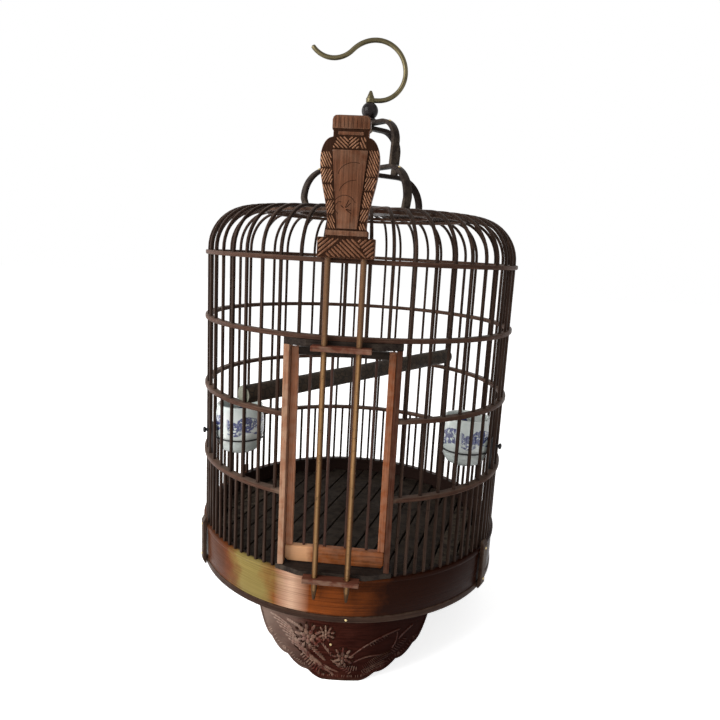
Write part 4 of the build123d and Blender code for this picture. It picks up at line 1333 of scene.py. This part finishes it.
class CAGE_OT_plaque(bpy.types.Operator):
    """Cuts the vase-shaped plaque, its raised panel, carved strokes and lip"""

    bl_idname = "cage.plaque"
    bl_label = "Bolt plaque"

    # All in millimetres: height of the foot and distance of the front and back from the axis
    base = PLAQUE_FOOT
    front, back = 171.0, 159.6
    # Heights over the foot at which the vase starts to swell, is widest and meets its neck
    swell, widest, mouth = 22.5, 74, 91
    # Half widths at the lower end, at the widest place and at the neck
    foot_half, vase_half, neck_half = 15.2, 22.9, 13.6

    def half(self, height):
        """Half width of the vase at a height over the plaque's foot, in millimetres."""
        if height < self.swell:
            return self.foot_half
        if height < self.widest:
            share = (height - self.swell) / (self.widest - self.swell)
            return self.foot_half + (self.vase_half - self.foot_half) * (3 * share**2 - 2 * share**3)
        if height < self.mouth:
            share = (height - self.widest) / (self.mouth - self.widest)
            return self.neck_half + (self.vase_half - self.neck_half) * sqrt(max(1 - share**2.2, 0))
        return self.neck_half

    def cut_out(self, outline, behind, thickness, rounding, segments):
        """A flat piece from its right-hand outline, thickened to the front, with rounded edges."""
        places = outline + [(-x, z) for x, z in reversed(outline)]
        obj = loop([(x * MM, -behind * MM, (self.base + z) * MM) for x, z in places], True)
        thicken(obj, (0, -thickness * MM, 0))
        return bevel(obj, rounding * MM, segments, 50)

    def body(self):
        rise, fall = self.widest - self.swell, self.mouth - self.widest
        heights = [self.swell + rise * index / 16 for index in range(1, 17)]
        heights += [self.widest + fall * sin(pi / 2 * index / 10) for index in range(1, 11)]
        right = [
            (22.4, 0), (22.9, 0.6), (22.9, 15.4), (22.4, 16),
            (16.6, 16), (16.9, 17), (16.9, 21), (15.2, 22.4),
        ]
        right += [(self.half(height), height) for height in heights]
        right += [
            (13.6, 95.6), (14.3, 96.2), (14.6, 97.2), (14.6, 103.4), (13.9, 105.6), (12.3, 106.8), (9.0, 107),
        ]
        return self.cut_out(right, self.back, self.front - 1.0 - self.back, 0.9, 3)

    def plate(self, outline, depth, rounding):
        """A raised plate on the front."""
        return self.cut_out(outline, self.front - 1.2, depth, rounding, 2)

    def stroke(self, x, z, length, width, lean, rise=0.6, sink=0.0):
        spot = Vector((x * MM, -(self.front - 1.05 - sink) * MM, (self.base + z) * MM))
        scale = Matrix.Diagonal((length * MM, 2 * rise * MM, width * MM, 1))
        return Matrix.Translation(spot) @ Matrix.Rotation(-lean, 4, "Y") @ scale

    def panel_half(self, z):
        """Half width of the smooth panel."""
        return 8.2 + (z - 22) * (14.0 - 8.2) / 59.5

    def hatch(self, inside, centre, reach, angle, spacing, width):
        """Parallel strokes clipped to a region of the front."""
        along, across = (cos(angle), sin(angle)), (-sin(angle), cos(angle))
        step, fewest, overlap = 0.3, 6, 0.4
        places = []
        rows = int(reach / spacing)
        for row in range(-rows, rows + 1):
            run = []
            for index in range(int(2 * reach / step) + 2):
                way = index * step - reach
                x = centre[0] + across[0] * row * spacing + along[0] * way
                z = centre[1] + across[1] * row * spacing + along[1] * way
                if inside(x, z):
                    run.append((x, z))
                    continue
                if len(run) >= fewest:
                    middle = run[len(run) // 2]
                    length = dist(run[0], run[-1]) + overlap
                    places.append(self.stroke(*middle, length, width, angle))
                run = []
        return places

    def border(self, side, low, high):
        """A test for one run of a border between the panel and the vase's edge."""

        def inside(x, z):
            across = side * x
            return low < z < high and self.panel_half(z) + 0.7 < across < self.half(z) - 0.4

        return inside

    def collar(self, low_x, high_x):
        """A test for one part of the collar."""

        def inside(x, z):
            return 82.8 < z < 91.2 and low_x < x < high_x and abs(x) < 10.6 + (91.4 - z) * 0.36

        return inside

    def foot_block(self, part):
        """A test for the foot block's left part (-1), middle (0) or right part (1)."""

        def inside(x, z):
            left_edge = -2.5 - (15.2 - z) * 1.14
            right_edge = 7.4 + (15.2 - z) * 0.62
            parts = {-1: x < left_edge - 0.5, 0: left_edge < x < right_edge, 1: x > right_edge + 0.6}
            return 0.9 < z < 15.2 and abs(x) < 22.2 and parts[part]

        return inside

    def strokes(self):
        """Hatching of the borders beside the panel, of the collar and of the foot block."""
        places = []
        steep, flat = 1.1, 0.72
        left = ((22.4, 32.6, -1), (33.4, 43.8, 1), (44.6, 56.0, -1), (56.8, 67.6, 1), (68.4, 80.0, -1))
        right = ((22.4, 27.4, -1), (28.2, 38.0, 1), (38.8, 51.2, -1), (52.0, 61.8, 1), (62.6, 82.0, -1))
        for side, runs in ((-1, left), (1, right)):
            for low, high, lean in runs:
                centre = (side * 15.5, (low + high) / 2)
                places += self.hatch(self.border(side, low, high), centre, 14, lean * steep, 1.75, 1.2)
        places += self.hatch(self.collar(-15, -1.4), (-7, 87), 12, -flat, 2.1, 1.4)
        places += self.hatch(self.collar(-1.0, 6.6), (3, 87), 12, flat, 2.1, 1.4)
        places += self.hatch(self.collar(7.2, 16), (10, 87), 12, -steep, 2.1, 1.4)
        for part, x, reach, lean in ((-1, -14, 20, flat), (0, 0, 22, -flat), (1, 16, 16, flat)):
            places += self.hatch(self.foot_block(part), (x, 8), reach, lean, 2.7, 1.9)
        return places

    def cut(self, start, end, width, sink=-0.85):
        """A straight line between two places, as a raised stroke dark with painted shade."""
        middle = ((start[0] + end[0]) / 2, (start[1] + end[1]) / 2)
        lean = atan2(end[1] - start[1], end[0] - start[0])
        return self.stroke(*middle, dist(start, end), width, lean, rise=0.22, sink=sink)

    def curve(self, x, z, across, tall, start, end, width=0.55):
        """A line along part of an oval, dark with painted shade."""
        count = 14
        spots = []
        for index in range(count + 1):
            angle = start + (end - start) * index / count
            spots.append((x + across * cos(angle), z + tall * sin(angle)))
        return [self.cut(first, second, width) for first, second in zip(spots, spots[1:])]

    def lines(self):
        """Lines cut in the lip, round the panel and across it, and a small sprig."""
        places = self.curve(4.0, 62.5, 12.5, 10.0, 1.25, 3.05)
        places += self.curve(5.5, 49.5, 12.5, 10.0, 1.55, 3.0)
        places += self.curve(-2.5, 37.5, 9.5, 10.5, 0.5, 2.5)
        places += self.curve(-6.2, 38.5, 3.4, 4.6, 1.2, 4.4)
        for angle, length in ((0.75, 6.5), (1.15, 7.5), (-0.6, 7.0), (-0.25, 5.5), (2.5, 4.0)):
            spot = (-2.2 + cos(angle) * 0.8, 38.0 + sin(angle) * 0.8)
            tip = (-2.2 + cos(angle) * length, 38.0 + sin(angle) * length)
            places.append(self.cut(spot, tip, 0.75))
        for side in (-1, 1):
            edge = [(side * (self.panel_half(z) - 0.1), z) for z in (22.6, 37, 52, 67, 81)]
            places += [self.cut(first, second, 0.7) for first, second in zip(edge, edge[1:])]
        for x in (-12.2, -9.6, -8.3, -5.4, -2.2, 0.4, 1.7, 4.6, 7.4, 8.6, 11.6):
            places.append(self.cut((x, 97.2), (x + 0.1, 105.6), 0.55))
        for z, half in ((22.1, 16.2), (16.6, 16.4), (15.6, 22.4), (82.0, 13.6)):
            places.append(self.cut((-half, z), (half, z), 0.8, sink=0.0))
        return places

    def execute(self, context):
        panel = [(self.panel_half(z), z) for z in (22.8, 40, 55, 70, 80)] + [(13.4, 81.6)]
        lip = [(14.0, 97.0), (14.2, 98.0), (14.2, 103.2), (13.2, 105.4), (11.5, 106.4)]
        neck = [(9.6, 92.4), (10.0, 93.0), (9.4, 94.9)]
        plinth = [(16.4, 17.4), (16.4, 21.4)]
        parts = [self.body(), self.plate(panel, 1.05, 0.35), self.plate(lip, 1.1, 0.5)]
        parts += [self.plate(neck, 0.8, 0.3), self.plate(plinth, 1.1, 0.5)]
        plaque = join(parts)
        finishes = [plain_wood("vase"), recess_shade_wood()]
        dress(plaque, "vase_board", "bolt", finishes, "vase_wood", "vase_plaque")
        # Front faces sunk behind the raised plates get the painted shade
        for polygon in plaque.data.polygons:
            recessed = polygon.normal.y < -0.9 and polygon.center.y > -(self.front - 0.9) * MM
            polygon.material_index = 1 if recessed else 0
        relief = scatter(ridge_seed(0.5), self.strokes())
        dress(relief, "vase_strokes", "bolt", stroke_wood(), "vase_wood")
        cuts = scatter(ridge_seed(0.5), self.lines())
        dress(cuts, "vase_lines", "bolt", groove_shade_wood(), "vase_wood")
        return {"FINISHED"}


class CAGE_OT_rods(bpy.types.Operator):
    """Turns the two bamboo rods with their joints and tips"""

    bl_idname = "cage.rods"
    bl_label = "Bolt rods"

    # Radius and height in millimetres, over the rod's end and from the middle of a joint
    tip = ((0, 0), (0.7, 0.1), (1.2, 0.7), (2.35, 8.6), (2.55, 10))
    joint = ((2.55, -1.6), (2.62, -0.5), (2.5, -0.15), (2.62, 0.3), (2.55, 1.6))

    def execute(self, context):
        for node, joints in (("left_rod", (140, 236, 330)), ("right_rod", (118, 205, 300, 372))):
            low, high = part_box(node)
            x, y = (low[0] + high[0]) / 2, (low[1] + high[1]) / 2
            bottom, top = low[2] / MM, high[2] / MM
            profile = [(radius, bottom + rise) for radius, rise in self.tip]
            for middle in joints:
                profile += [(radius, middle + rise) for radius, rise in self.joint]
            profile += [(2.55, top), (0, top)]
            rod = lathe(profile, (x, y), steps=24)
            dress(rod, node + "_cane", "bolt", rod_wood(), "rod_bamboo", node)
        return {"FINISHED"}


class CAGE_OT_perch(bpy.types.Operator):
    """Shapes the branch of the perch, notches it over the middle hoop and slots it for a splint"""

    bl_idname = "cage.perch"
    bl_label = "Perch"

    # Each knot of the bough: share of its length and angle round it
    knots = ((0.3, 1.2), (0.62, 2.4), (0.82, 0.6))

    def swell(self, share, angle):
        """How far the bark stands out at a share of the length, as a share of the radius."""
        lump = 0.012 * sin(9 * share * pi + 2 * angle) + 0.010 * sin(23 * share + 3 * angle + 1)
        knot = 0.0
        for spot, turn in self.knots:
            gap = (share - spot) ** 2 * 900 + (1 - cos(angle - turn)) * 3
            knot += 0.0 if gap > 4 else 0.028 * (1 - gap / 4)
        return 0.975 + lump + knot

    def execute(self, context):
        line = PERCH_FAR - PERCH_NEAR
        forward = line.normalized()
        side = forward.cross(Vector((0, 0, 1))).normalized()
        up = side.cross(forward)
        runs = 46
        obj = loop(circle(PERCH_NEAR, side, up, 8.9 * MM, 28))
        edit(obj)
        for _ in range(runs):
            run_on(line / runs)
        close_up(obj, 60)
        for vertex in obj.data.vertices:
            away = vertex.co - PERCH_NEAR
            along = away.dot(forward)
            radial = away - forward * along
            if radial.length < 0.001:
                continue
            angle = atan2(radial.dot(up), radial.dot(side))
            vertex.co = PERCH_NEAR + forward * along + radial * self.swell(along / line.length, angle)
        inner, outer, low, high = 152.5 * MM, 170 * MM, 236 * MM, 249.1 * MM
        cut_away(obj, ring([(inner, low), (outer, low), (outer, high), (inner, high)], steps=96))
        slot = block((-2 * MM, -1.7 * MM, -20 * MM), (6 * MM, 1.7 * MM, 20 * MM), 0.1 * MM)
        turn = Matrix.Rotation(20 * PITCH - pi / 2, 4, "Z")
        slot.matrix_world = Matrix.Translation(place(20 * PITCH, 156 * MM, 262 * MM)) @ turn
        cut_away(obj, slot)
        dress(obj, "branch_perch", "cage", [bark(), bough_end()], "perch_wood", "perch")
        for polygon in obj.data.polygons:
            near = (polygon.center - PERCH_NEAR).length < 9.2 * MM
            polygon.material_index = 1 if near and abs(polygon.normal.dot(forward)) > 0.8 else 0
        return {"FINISHED"}


class CAGE_OT_cups(bpy.types.Operator):
    """Turns the porcelain cups and makes the ring, arm, plate and peg that hold each"""

    bl_idname = "cage.cups"
    bl_label = "Cups"

    # The height at which a cup is widest, and its whole height, in millimetres
    belly, tall = 27.5, 50

    def outline(self, height):
        """Outside radius of a cup at a height over its foot, in millimetres."""
        if height < self.belly:
            fall = (self.belly - height) / self.belly
            return 14 + 11 * sqrt(1 - fall**2)
        climb = (height - self.belly) / (self.tall - self.belly)
        return 25 - 2 * climb**2

    def cup(self, centre):
        heights = [2.2, 3.5, 5.5, 8, 11, 15, 19, 23, 27.5, 32, 36, 40, 44, 47, 48.6]
        profile = [(0, 1.0), (11.4, 1.0), (11.9, 0.0), (13.4, 0.0), (13.9, 0.6), (13.9, 1.6)]
        profile += [(self.outline(height) - 0.3, height) for height in heights]
        profile += [(23.1, 49.4), (22.6, 49.9), (21.7, 50.0), (21.0, 49.6), (20.6, 48.6)]
        depths = (46, 42, 38, 33, 28, 23, 18, 14, 11, 9)
        profile += [(self.outline(height) - 2.9, height) for height in depths]
        profile += [(12.0, 6.6), (8.0, 5.6), (0, 5.2)]
        profile = [(radius, CUP_Z / MM + height) for radius, height in profile]
        return lathe(profile, centre, steps=48, smooth=50)

    def holder(self, azimuth, centre):
        wire = sizes().wire / 2
        height = CUP_Z + 16.2 * MM
        clear()
        bpy.ops.mesh.primitive_torus_add(
            location=(centre[0], centre[1], height), major_radius=(self.outline(17.4) + 0.3) * MM + wire,
            minor_radius=wire, major_segments=48, minor_segments=12,
        )
        hoop = settle(bpy.context.object)
        pick(hoop)
        bpy.ops.object.shade_smooth()
        turn = Matrix.Rotation(azimuth - pi / 2, 4, "Z")
        reach = 155.5
        plate = block(((reach - 2.2) * MM, -11 * MM, 178 * MM), (reach * MM, 11 * MM, 208 * MM), 0.6 * MM)
        low, high = height - 1.2 * MM, height + 1.2 * MM
        arm = block(((reach - 4.2) * MM, -4 * MM, low), ((reach - 1) * MM, 4 * MM, high), 0.4 * MM)
        parts = [settle(copy_of(piece, turn)) for piece in (plate, arm)]
        profile = [
            (1.5, 154.6), (1.5, 160.4), (2.2, 160.6), (3.0, 161.2), (3.1, 162.2), (2.6, 163.0), (1.4, 163.4),
            (0, 163.5),
        ]
        peg = lathe(profile, steps=16, smooth=50)
        peg.matrix_world = turn @ Matrix.Translation((0, 0, 200 * MM)) @ Matrix.Rotation(pi / 2, 4, "Y")
        settle(peg)
        for piece in (plate, arm):
            bpy.data.objects.remove(piece)
        return join([hoop, peg] + parts)

    def execute(self, context):
        for side, (azimuth, radius) in CUP_PLACES.items():
            spot = place(azimuth, radius, CUP_Z)
            cup = self.cup((spot.x, spot.y))
            glaze = porcelain("Glaze, " + side, spot)
            dress(cup, side + "_porcelain_cup", side + "_cup", glaze, "porcelain", side + "_cup")
            holder = self.holder(azimuth, (spot.x, spot.y))
            dress(holder, side + "_cup_wire", "cage", black_wire(), "wire", side + "_cup_holder")
        return {"FINISHED"}


class CAGE_OT_hanger(bpy.types.Operator):
    """Bends the four bows and sets the pins that hold them"""

    bl_idname = "cage.hanger"
    bl_label = "Hanger"

    def bow(self, top, half, bend, toe, seat, turn):
        """One strip bent over the dome, in the XZ plane, then turned to its place."""
        thick, width = 4.0 * MM, 9.0 * MM
        shoulder = top - thick / 2 - bend
        obj = loop(section((toe, 0, seat), thick / 2, width / 2, sizes().strip_round))
        edit(obj)
        run_on((half - toe, 0, shoulder - seat))
        bend_on(-pi / 2, (half - bend, 0, shoulder), (0, 1, 0), 14)
        run_on((-2 * (half - bend), 0, 0))
        bend_on(-pi / 2, (-(half - bend), 0, shoulder), (0, 1, 0), 14)
        run_on((half - toe, 0, seat - shoulder))
        close_up(obj)
        obj.rotation_euler.z = radians(turn - 90)
        return settle(obj)

    def pin(self, spot, direction):
        head = [(0, -1.0), (0.9, -1.0), (1.35, 0.0), (1.25, 0.45), (0.8, 0.75), (0, 0.85)]
        obj = lathe(head, steps=14, smooth=60)
        obj.matrix_world = facing(spot, direction)
        return settle(obj)

    def execute(self, context):
        seat = dome_z(69.5 * MM) + 0.2 * MM
        turned = 360 / BARS
        # Top, half width, bend and toe in millimetres, the seat in metres, the turn in degrees
        rows = (
            ("hanger_lower_bow_a", 473.3, 72, 31, 69.5, seat, 45 - turned),
            ("hanger_lower_bow_b", 469.3, 72, 31, 69.5, seat, -45 - turned),
            ("hanger_upper_bow_a", 518.5, 41, 20, 39, 473.2 * MM, 45),
            ("hanger_upper_bow_b", 514.5, 41, 20, 39, 469.2 * MM, -45),
        )
        lean = Vector((sin(0.48), cos(0.48)))
        pins = []
        for node, top, half, bend, toe, foot, turn in rows:
            obj = self.bow(top * MM, half * MM, bend * MM, toe * MM, foot, turn)
            dress(obj, node + "_strip", "cage", plain_wood("bow"), "hanger_bamboo", node)
            for sign in (1, -1):
                out = place(radians(turn), 1, 0) * sign
                reach = half - bend + (bend + 2.0) * lean.x
                level = top - 2 - bend + (bend + 2.0) * lean.y
                spot = out * reach * MM + Vector((0, 0, level * MM))
                pins.append(self.pin(spot, out * lean.x + Vector((0, 0, lean.y))))
        dress(join(pins), "bow_pins", "cage", pin_brass(), "hook_metal")
        return {"FINISHED"}


class CAGE_OT_swivel(bpy.types.Operator):
    """Turns the collar, the bead and the pin, and bends the hook"""

    bl_idname = "cage.swivel"
    bl_label = "Swivel and hook"

    def collar(self, base, top):
        profile = [(2.0, base), (6.8, base), (7.5, base + 0.8), (7.2, base + 1.8), (6.2, top), (2.0, top)]
        return lathe(profile + profile[:1], steps=36)

    def bead(self, base, top):
        middle, radius = (base + top) / 2, 8.5
        reach = asin((top - base) / 2 / radius)
        angles = [reach * (index / 8 - 1) for index in range(17)]
        profile = [(radius * cos(angle), middle + radius * sin(angle)) for angle in angles]
        return lathe(profile + [(2.0, top), (2.0, base), profile[0]], steps=40, smooth=50)

    def pin(self, base, top):
        profile = [
            (0, base), (2.6, base + 0.2), (3.8, base + 1.2), (4.0, base + 3.0), (1.9, base + 3.0),
            (1.9, top - 5.0), (3.7, top - 5.0), (3.6, top - 4.3), (2.9, top - 2.8), (2.1, top - 0.6),
            (1.5, top + 0.9), (0.9, top + 1.6), (0, top + 1.8),
        ]
        return lathe(profile, steps=28)

    def hook(self, low):
        """A round wire led out of the eye and bent into a bill with a turned-up tail."""
        high = low + sizes().hook_wire
        level = (low + high) / 2
        radius = sizes().hook_wire / 2
        # Radii of the four bends, in millimetres
        foot, back, bill, curl = 26, 31, 33, 27
        about = (0, 1, 0)
        obj = loop(circle((3.2 * MM, 0, level), (0, 1, 0), (0, 0, 1), radius, 16))
        edit(obj)
        run_on((4.8 * MM, 0, 0))
        bend_on(-pi / 2, (8 * MM, 0, level + foot * MM), about, 16)
        bend_on(-pi / 2, (3 * MM, 0, level + foot * MM), about, 18)
        crest = Vector((3, 0, level / MM + foot + back - bill)) * MM
        bend_on(-pi / 4, crest, about, 10)
        knee = crest + Vector((-bill * cos(pi / 4), 0, bill * sin(pi / 4))) * MM
        tail = knee + Vector((-curl * cos(pi / 4), 0, curl * sin(pi / 4))) * MM
        bend_on(radians(96), tail, about, 20)
        away = radians(-141)
        tip = tail + Vector((curl * cos(away), 0, curl * sin(away))) * MM
        forward = Vector((sin(away), 0, -cos(away)))
        for shrink, step in ((0.9, 0.5), (0.72, 0.5), (0.4, 0.4)):
            run_on(tuple(forward * step * MM))
            tip = tip + forward * step * MM
            bpy.ops.transform.resize(value=(shrink, shrink, shrink), center_override=tuple(tip))
        close_up(obj, 60)
        base, top = low / MM, high / MM
        eye = [(2.0, base), (4.2, base), (4.6, base + 0.7), (4.6, top - 0.7), (4.2, top), (2.0, top)]
        return join([obj, lathe(eye + eye[:1], steps=28)])

    def execute(self, context):
        parts = (
            ("hanger_collar", self.collar, "collar_disc", bead_finish(), "bead"),
            ("swivel_bead", self.bead, "polished_bead", bead_finish(), "bead"),
            ("swivel_pin", self.pin, "pin_and_finial", brass(), "hook_metal"),
        )
        for node, make, name, finish, slot in parts:
            low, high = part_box(node)
            dress(make(low[2] / MM, high[2] / MM), name, "cage", finish, slot, node)
        hook = self.hook(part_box("swivel_bead")[1][2] + 0.3 * MM)
        dress(hook, "brass_hook", "hook", brass(), "hook_metal", "hook")
        return {"FINISHED"}


class CAGE_OT_nails(bpy.types.Operator):
    """Sets the small nail heads of the rim, the feet and the cleats"""

    bl_idname = "cage.nails"
    bl_label = "Nails"

    # A foot's nails: degrees past 0, 120 and 240 round the cage, and radius and height in millimetres
    foot_nails = ((5.3, 160.8, 63.0), (0.7, 157.5, 35.5))
    # The cleats: degrees round the cage, and radius and height of the nails of each
    cleat_turns = (61.5, 118.5, 241.5, 298.5)
    cleat_nails = ((165.2, 70.0), (165.2, 103.0))

    def execute(self, context):
        head = [(0, -1.0), (1.0, -1.0), (1.3, 0.0), (1.15, 0.5), (0.7, 0.8), (0, 0.9)]
        seed = lathe(head, steps=12, smooth=60)
        spots = []
        for turn in (0, 120, 240):
            spots += [(turn + own, radius, height) for own, radius, height in self.foot_nails]
        for turn in self.cleat_turns:
            spots += [(turn, radius, height) for radius, height in self.cleat_nails]
        matrices = []
        for azimuth, radius, height in spots:
            angle = radians(azimuth)
            matrices.append(facing(place(angle, radius * MM, height * MM), place(angle, 1, 0)))
        dress(scatter(seed, matrices), "nail_heads", "cage", pin_brass(), "hook_metal")
        return {"FINISHED"}


class CAGE_OT_stage(bpy.types.Operator):
    """Lays the pale floor and sets the lamps, the background and the camera"""

    bl_idname = "cage.stage"
    bl_label = "Stage"

    # Azimuth in degrees, height, distance and size in metres, and power in watts
    lamps = {
        "Window light": (-50, 0.95, 1.6, (1.2, 1.3), 34),
        "Side light": (-105, 0.6, 1.6, (0.8, 1.2), 10),
        "Soft fill": (60, 0.9, 2.2, (1.2, 1.2), 4),
    }
    aim = Vector((0, 0, 0.28))
    # The camera as solved from the photograph: place, heading, pitch and roll in degrees, and lens
    camera_place = (0.051012, -0.648167, 0.389348)
    heading, pitch, roll = 4.2006, 10.33, 3.04
    lens = 30.161

    def lamp(self, name, azimuth, height, distance, size, power):
        lamp = bpy.data.lights.new(name, "AREA")
        lamp.shape = "RECTANGLE"
        lamp.size, lamp.size_y = size
        lamp.energy = power
        obj = bpy.data.objects.new(name, lamp)
        bpy.context.collection.objects.link(obj)
        obj.location = place(radians(azimuth), distance, height)
        obj.rotation_euler = (self.aim - obj.location).to_track_quat("-Z", "Y").to_euler()

    def seen(self, tree):
        """1 for what the camera sees, straight, in gloss or through glass."""
        path = tree.nodes.new("ShaderNodeLightPath")
        seen = maths(tree, "MAXIMUM", path.outputs["Is Camera Ray"], path.outputs["Is Glossy Ray"])
        return maths(tree, "MAXIMUM", seen, path.outputs["Is Transmission Ray"])

    def floor(self):
        """A wide pale floor that glows a little for the camera, so that it meets the white background."""
        clear()
        bpy.ops.mesh.primitive_plane_add(size=9, location=(0, 1.5, 0))
        floor = settle(bpy.context.object)
        floor.name = "pale_floor"
        material, tree, shader = new_material("Pale floor", roughness=0.9, specular=0.1)
        mottle = spread(tree, place_noise(tree, 3.0), 0.3, 0.7)
        colour = blend_colour(tree, mottle, (0.93, 0.93, 0.93), (0.95, 0.95, 0.95))
        link(tree, colour, shader.inputs["Base Color"])
        shader.inputs["Emission Color"].default_value = (1, 1, 1, 1)
        link(tree, times(tree, self.seen(tree), 0.72), shader.inputs["Emission Strength"])
        set_finish(floor, material)

    def background(self, scene):
        """Plain white for what the camera sees, and a dimmer white as light."""
        world = scene.world or bpy.data.worlds.new("World")
        scene.world = world
        world.use_nodes = True
        tree = world.node_tree
        dim = tree.nodes["Background"]
        white = tree.nodes.new("ShaderNodeBackground")
        for node, strength in ((dim, 0.4), (white, 1.0)):
            node.inputs["Color"].default_value = (1, 1, 1, 1)
            node.inputs["Strength"].default_value = strength
        mix = tree.nodes.new("ShaderNodeMixShader")
        for source, socket in zip((self.seen(tree), dim.outputs[0], white.outputs[0]), mix.inputs):
            link(tree, source, socket)
        link(tree, mix.outputs[0], tree.nodes["World Output"].inputs["Surface"])

    def camera(self, scene):
        camera = bpy.data.cameras.new("Camera")
        camera.sensor_width = 36
        camera.lens = self.lens
        camera.clip_start = 0.01
        view = bpy.data.objects.new("Camera", camera)
        bpy.context.collection.objects.link(view)
        spin = Matrix.Rotation(radians(self.heading), 4, "Z")
        spin = spin @ Matrix.Rotation(pi / 2 - radians(self.pitch), 4, "X")
        spin = spin @ Matrix.Rotation(radians(self.roll), 4, "Z")
        view.matrix_world = Matrix.Translation(self.camera_place) @ spin
        scene.camera = view

    def execute(self, context):
        scene = context.scene
        scene.view_settings.view_transform = "Standard"
        self.floor()
        self.background(scene)
        for name, values in self.lamps.items():
            self.lamp(name, *values)
        self.camera(scene)
        return {"FINISHED"}


class CAGE_PT_panel(bpy.types.Panel):
    """Sizes, colours and the operators in build order"""

    bl_label = "Bird cage"
    bl_idname = "CAGE_PT_panel"
    bl_space_type = "VIEW_3D"
    bl_region_type = "UI"
    bl_category = "Cage"

    def draw(self, context):
        column = self.layout.column(align=True)
        for group in (context.scene.cage_sizes, context.scene.cage_colours):
            for key in group.bl_rna.properties.keys():
                if key not in ("rna_type", "name"):
                    column.prop(group, key)
        for operator in OPERATORS:
            column.operator(operator.bl_idname)


OPERATORS = (
    CAGE_OT_stage,
    CAGE_OT_splints,
    CAGE_OT_hoops,
    CAGE_OT_base,
    CAGE_OT_feet,
    CAGE_OT_dome,
    CAGE_OT_doorway,
    CAGE_OT_door,
    CAGE_OT_plaque,
    CAGE_OT_rods,
    CAGE_OT_perch,
    CAGE_OT_cups,
    CAGE_OT_hanger,
    CAGE_OT_swivel,
    CAGE_OT_nails,
)
CLASSES = (CageSizes, CageColours) + OPERATORS + (CAGE_PT_panel,)


def register():
    for cls in CLASSES:
        bpy.utils.register_class(cls)
    bpy.types.Scene.cage_sizes = PointerProperty(type=CageSizes)
    bpy.types.Scene.cage_colours = PointerProperty(type=CageColours)


def unregister():
    del bpy.types.Scene.cage_colours
    del bpy.types.Scene.cage_sizes
    for cls in reversed(CLASSES):
        bpy.utils.unregister_class(cls)


def main():
    register()
    for operator in OPERATORS:
        group, name = operator.bl_idname.split(".")
        getattr(getattr(bpy.ops, group), name)()
    clear()


if __name__ == "__main__":
    main()
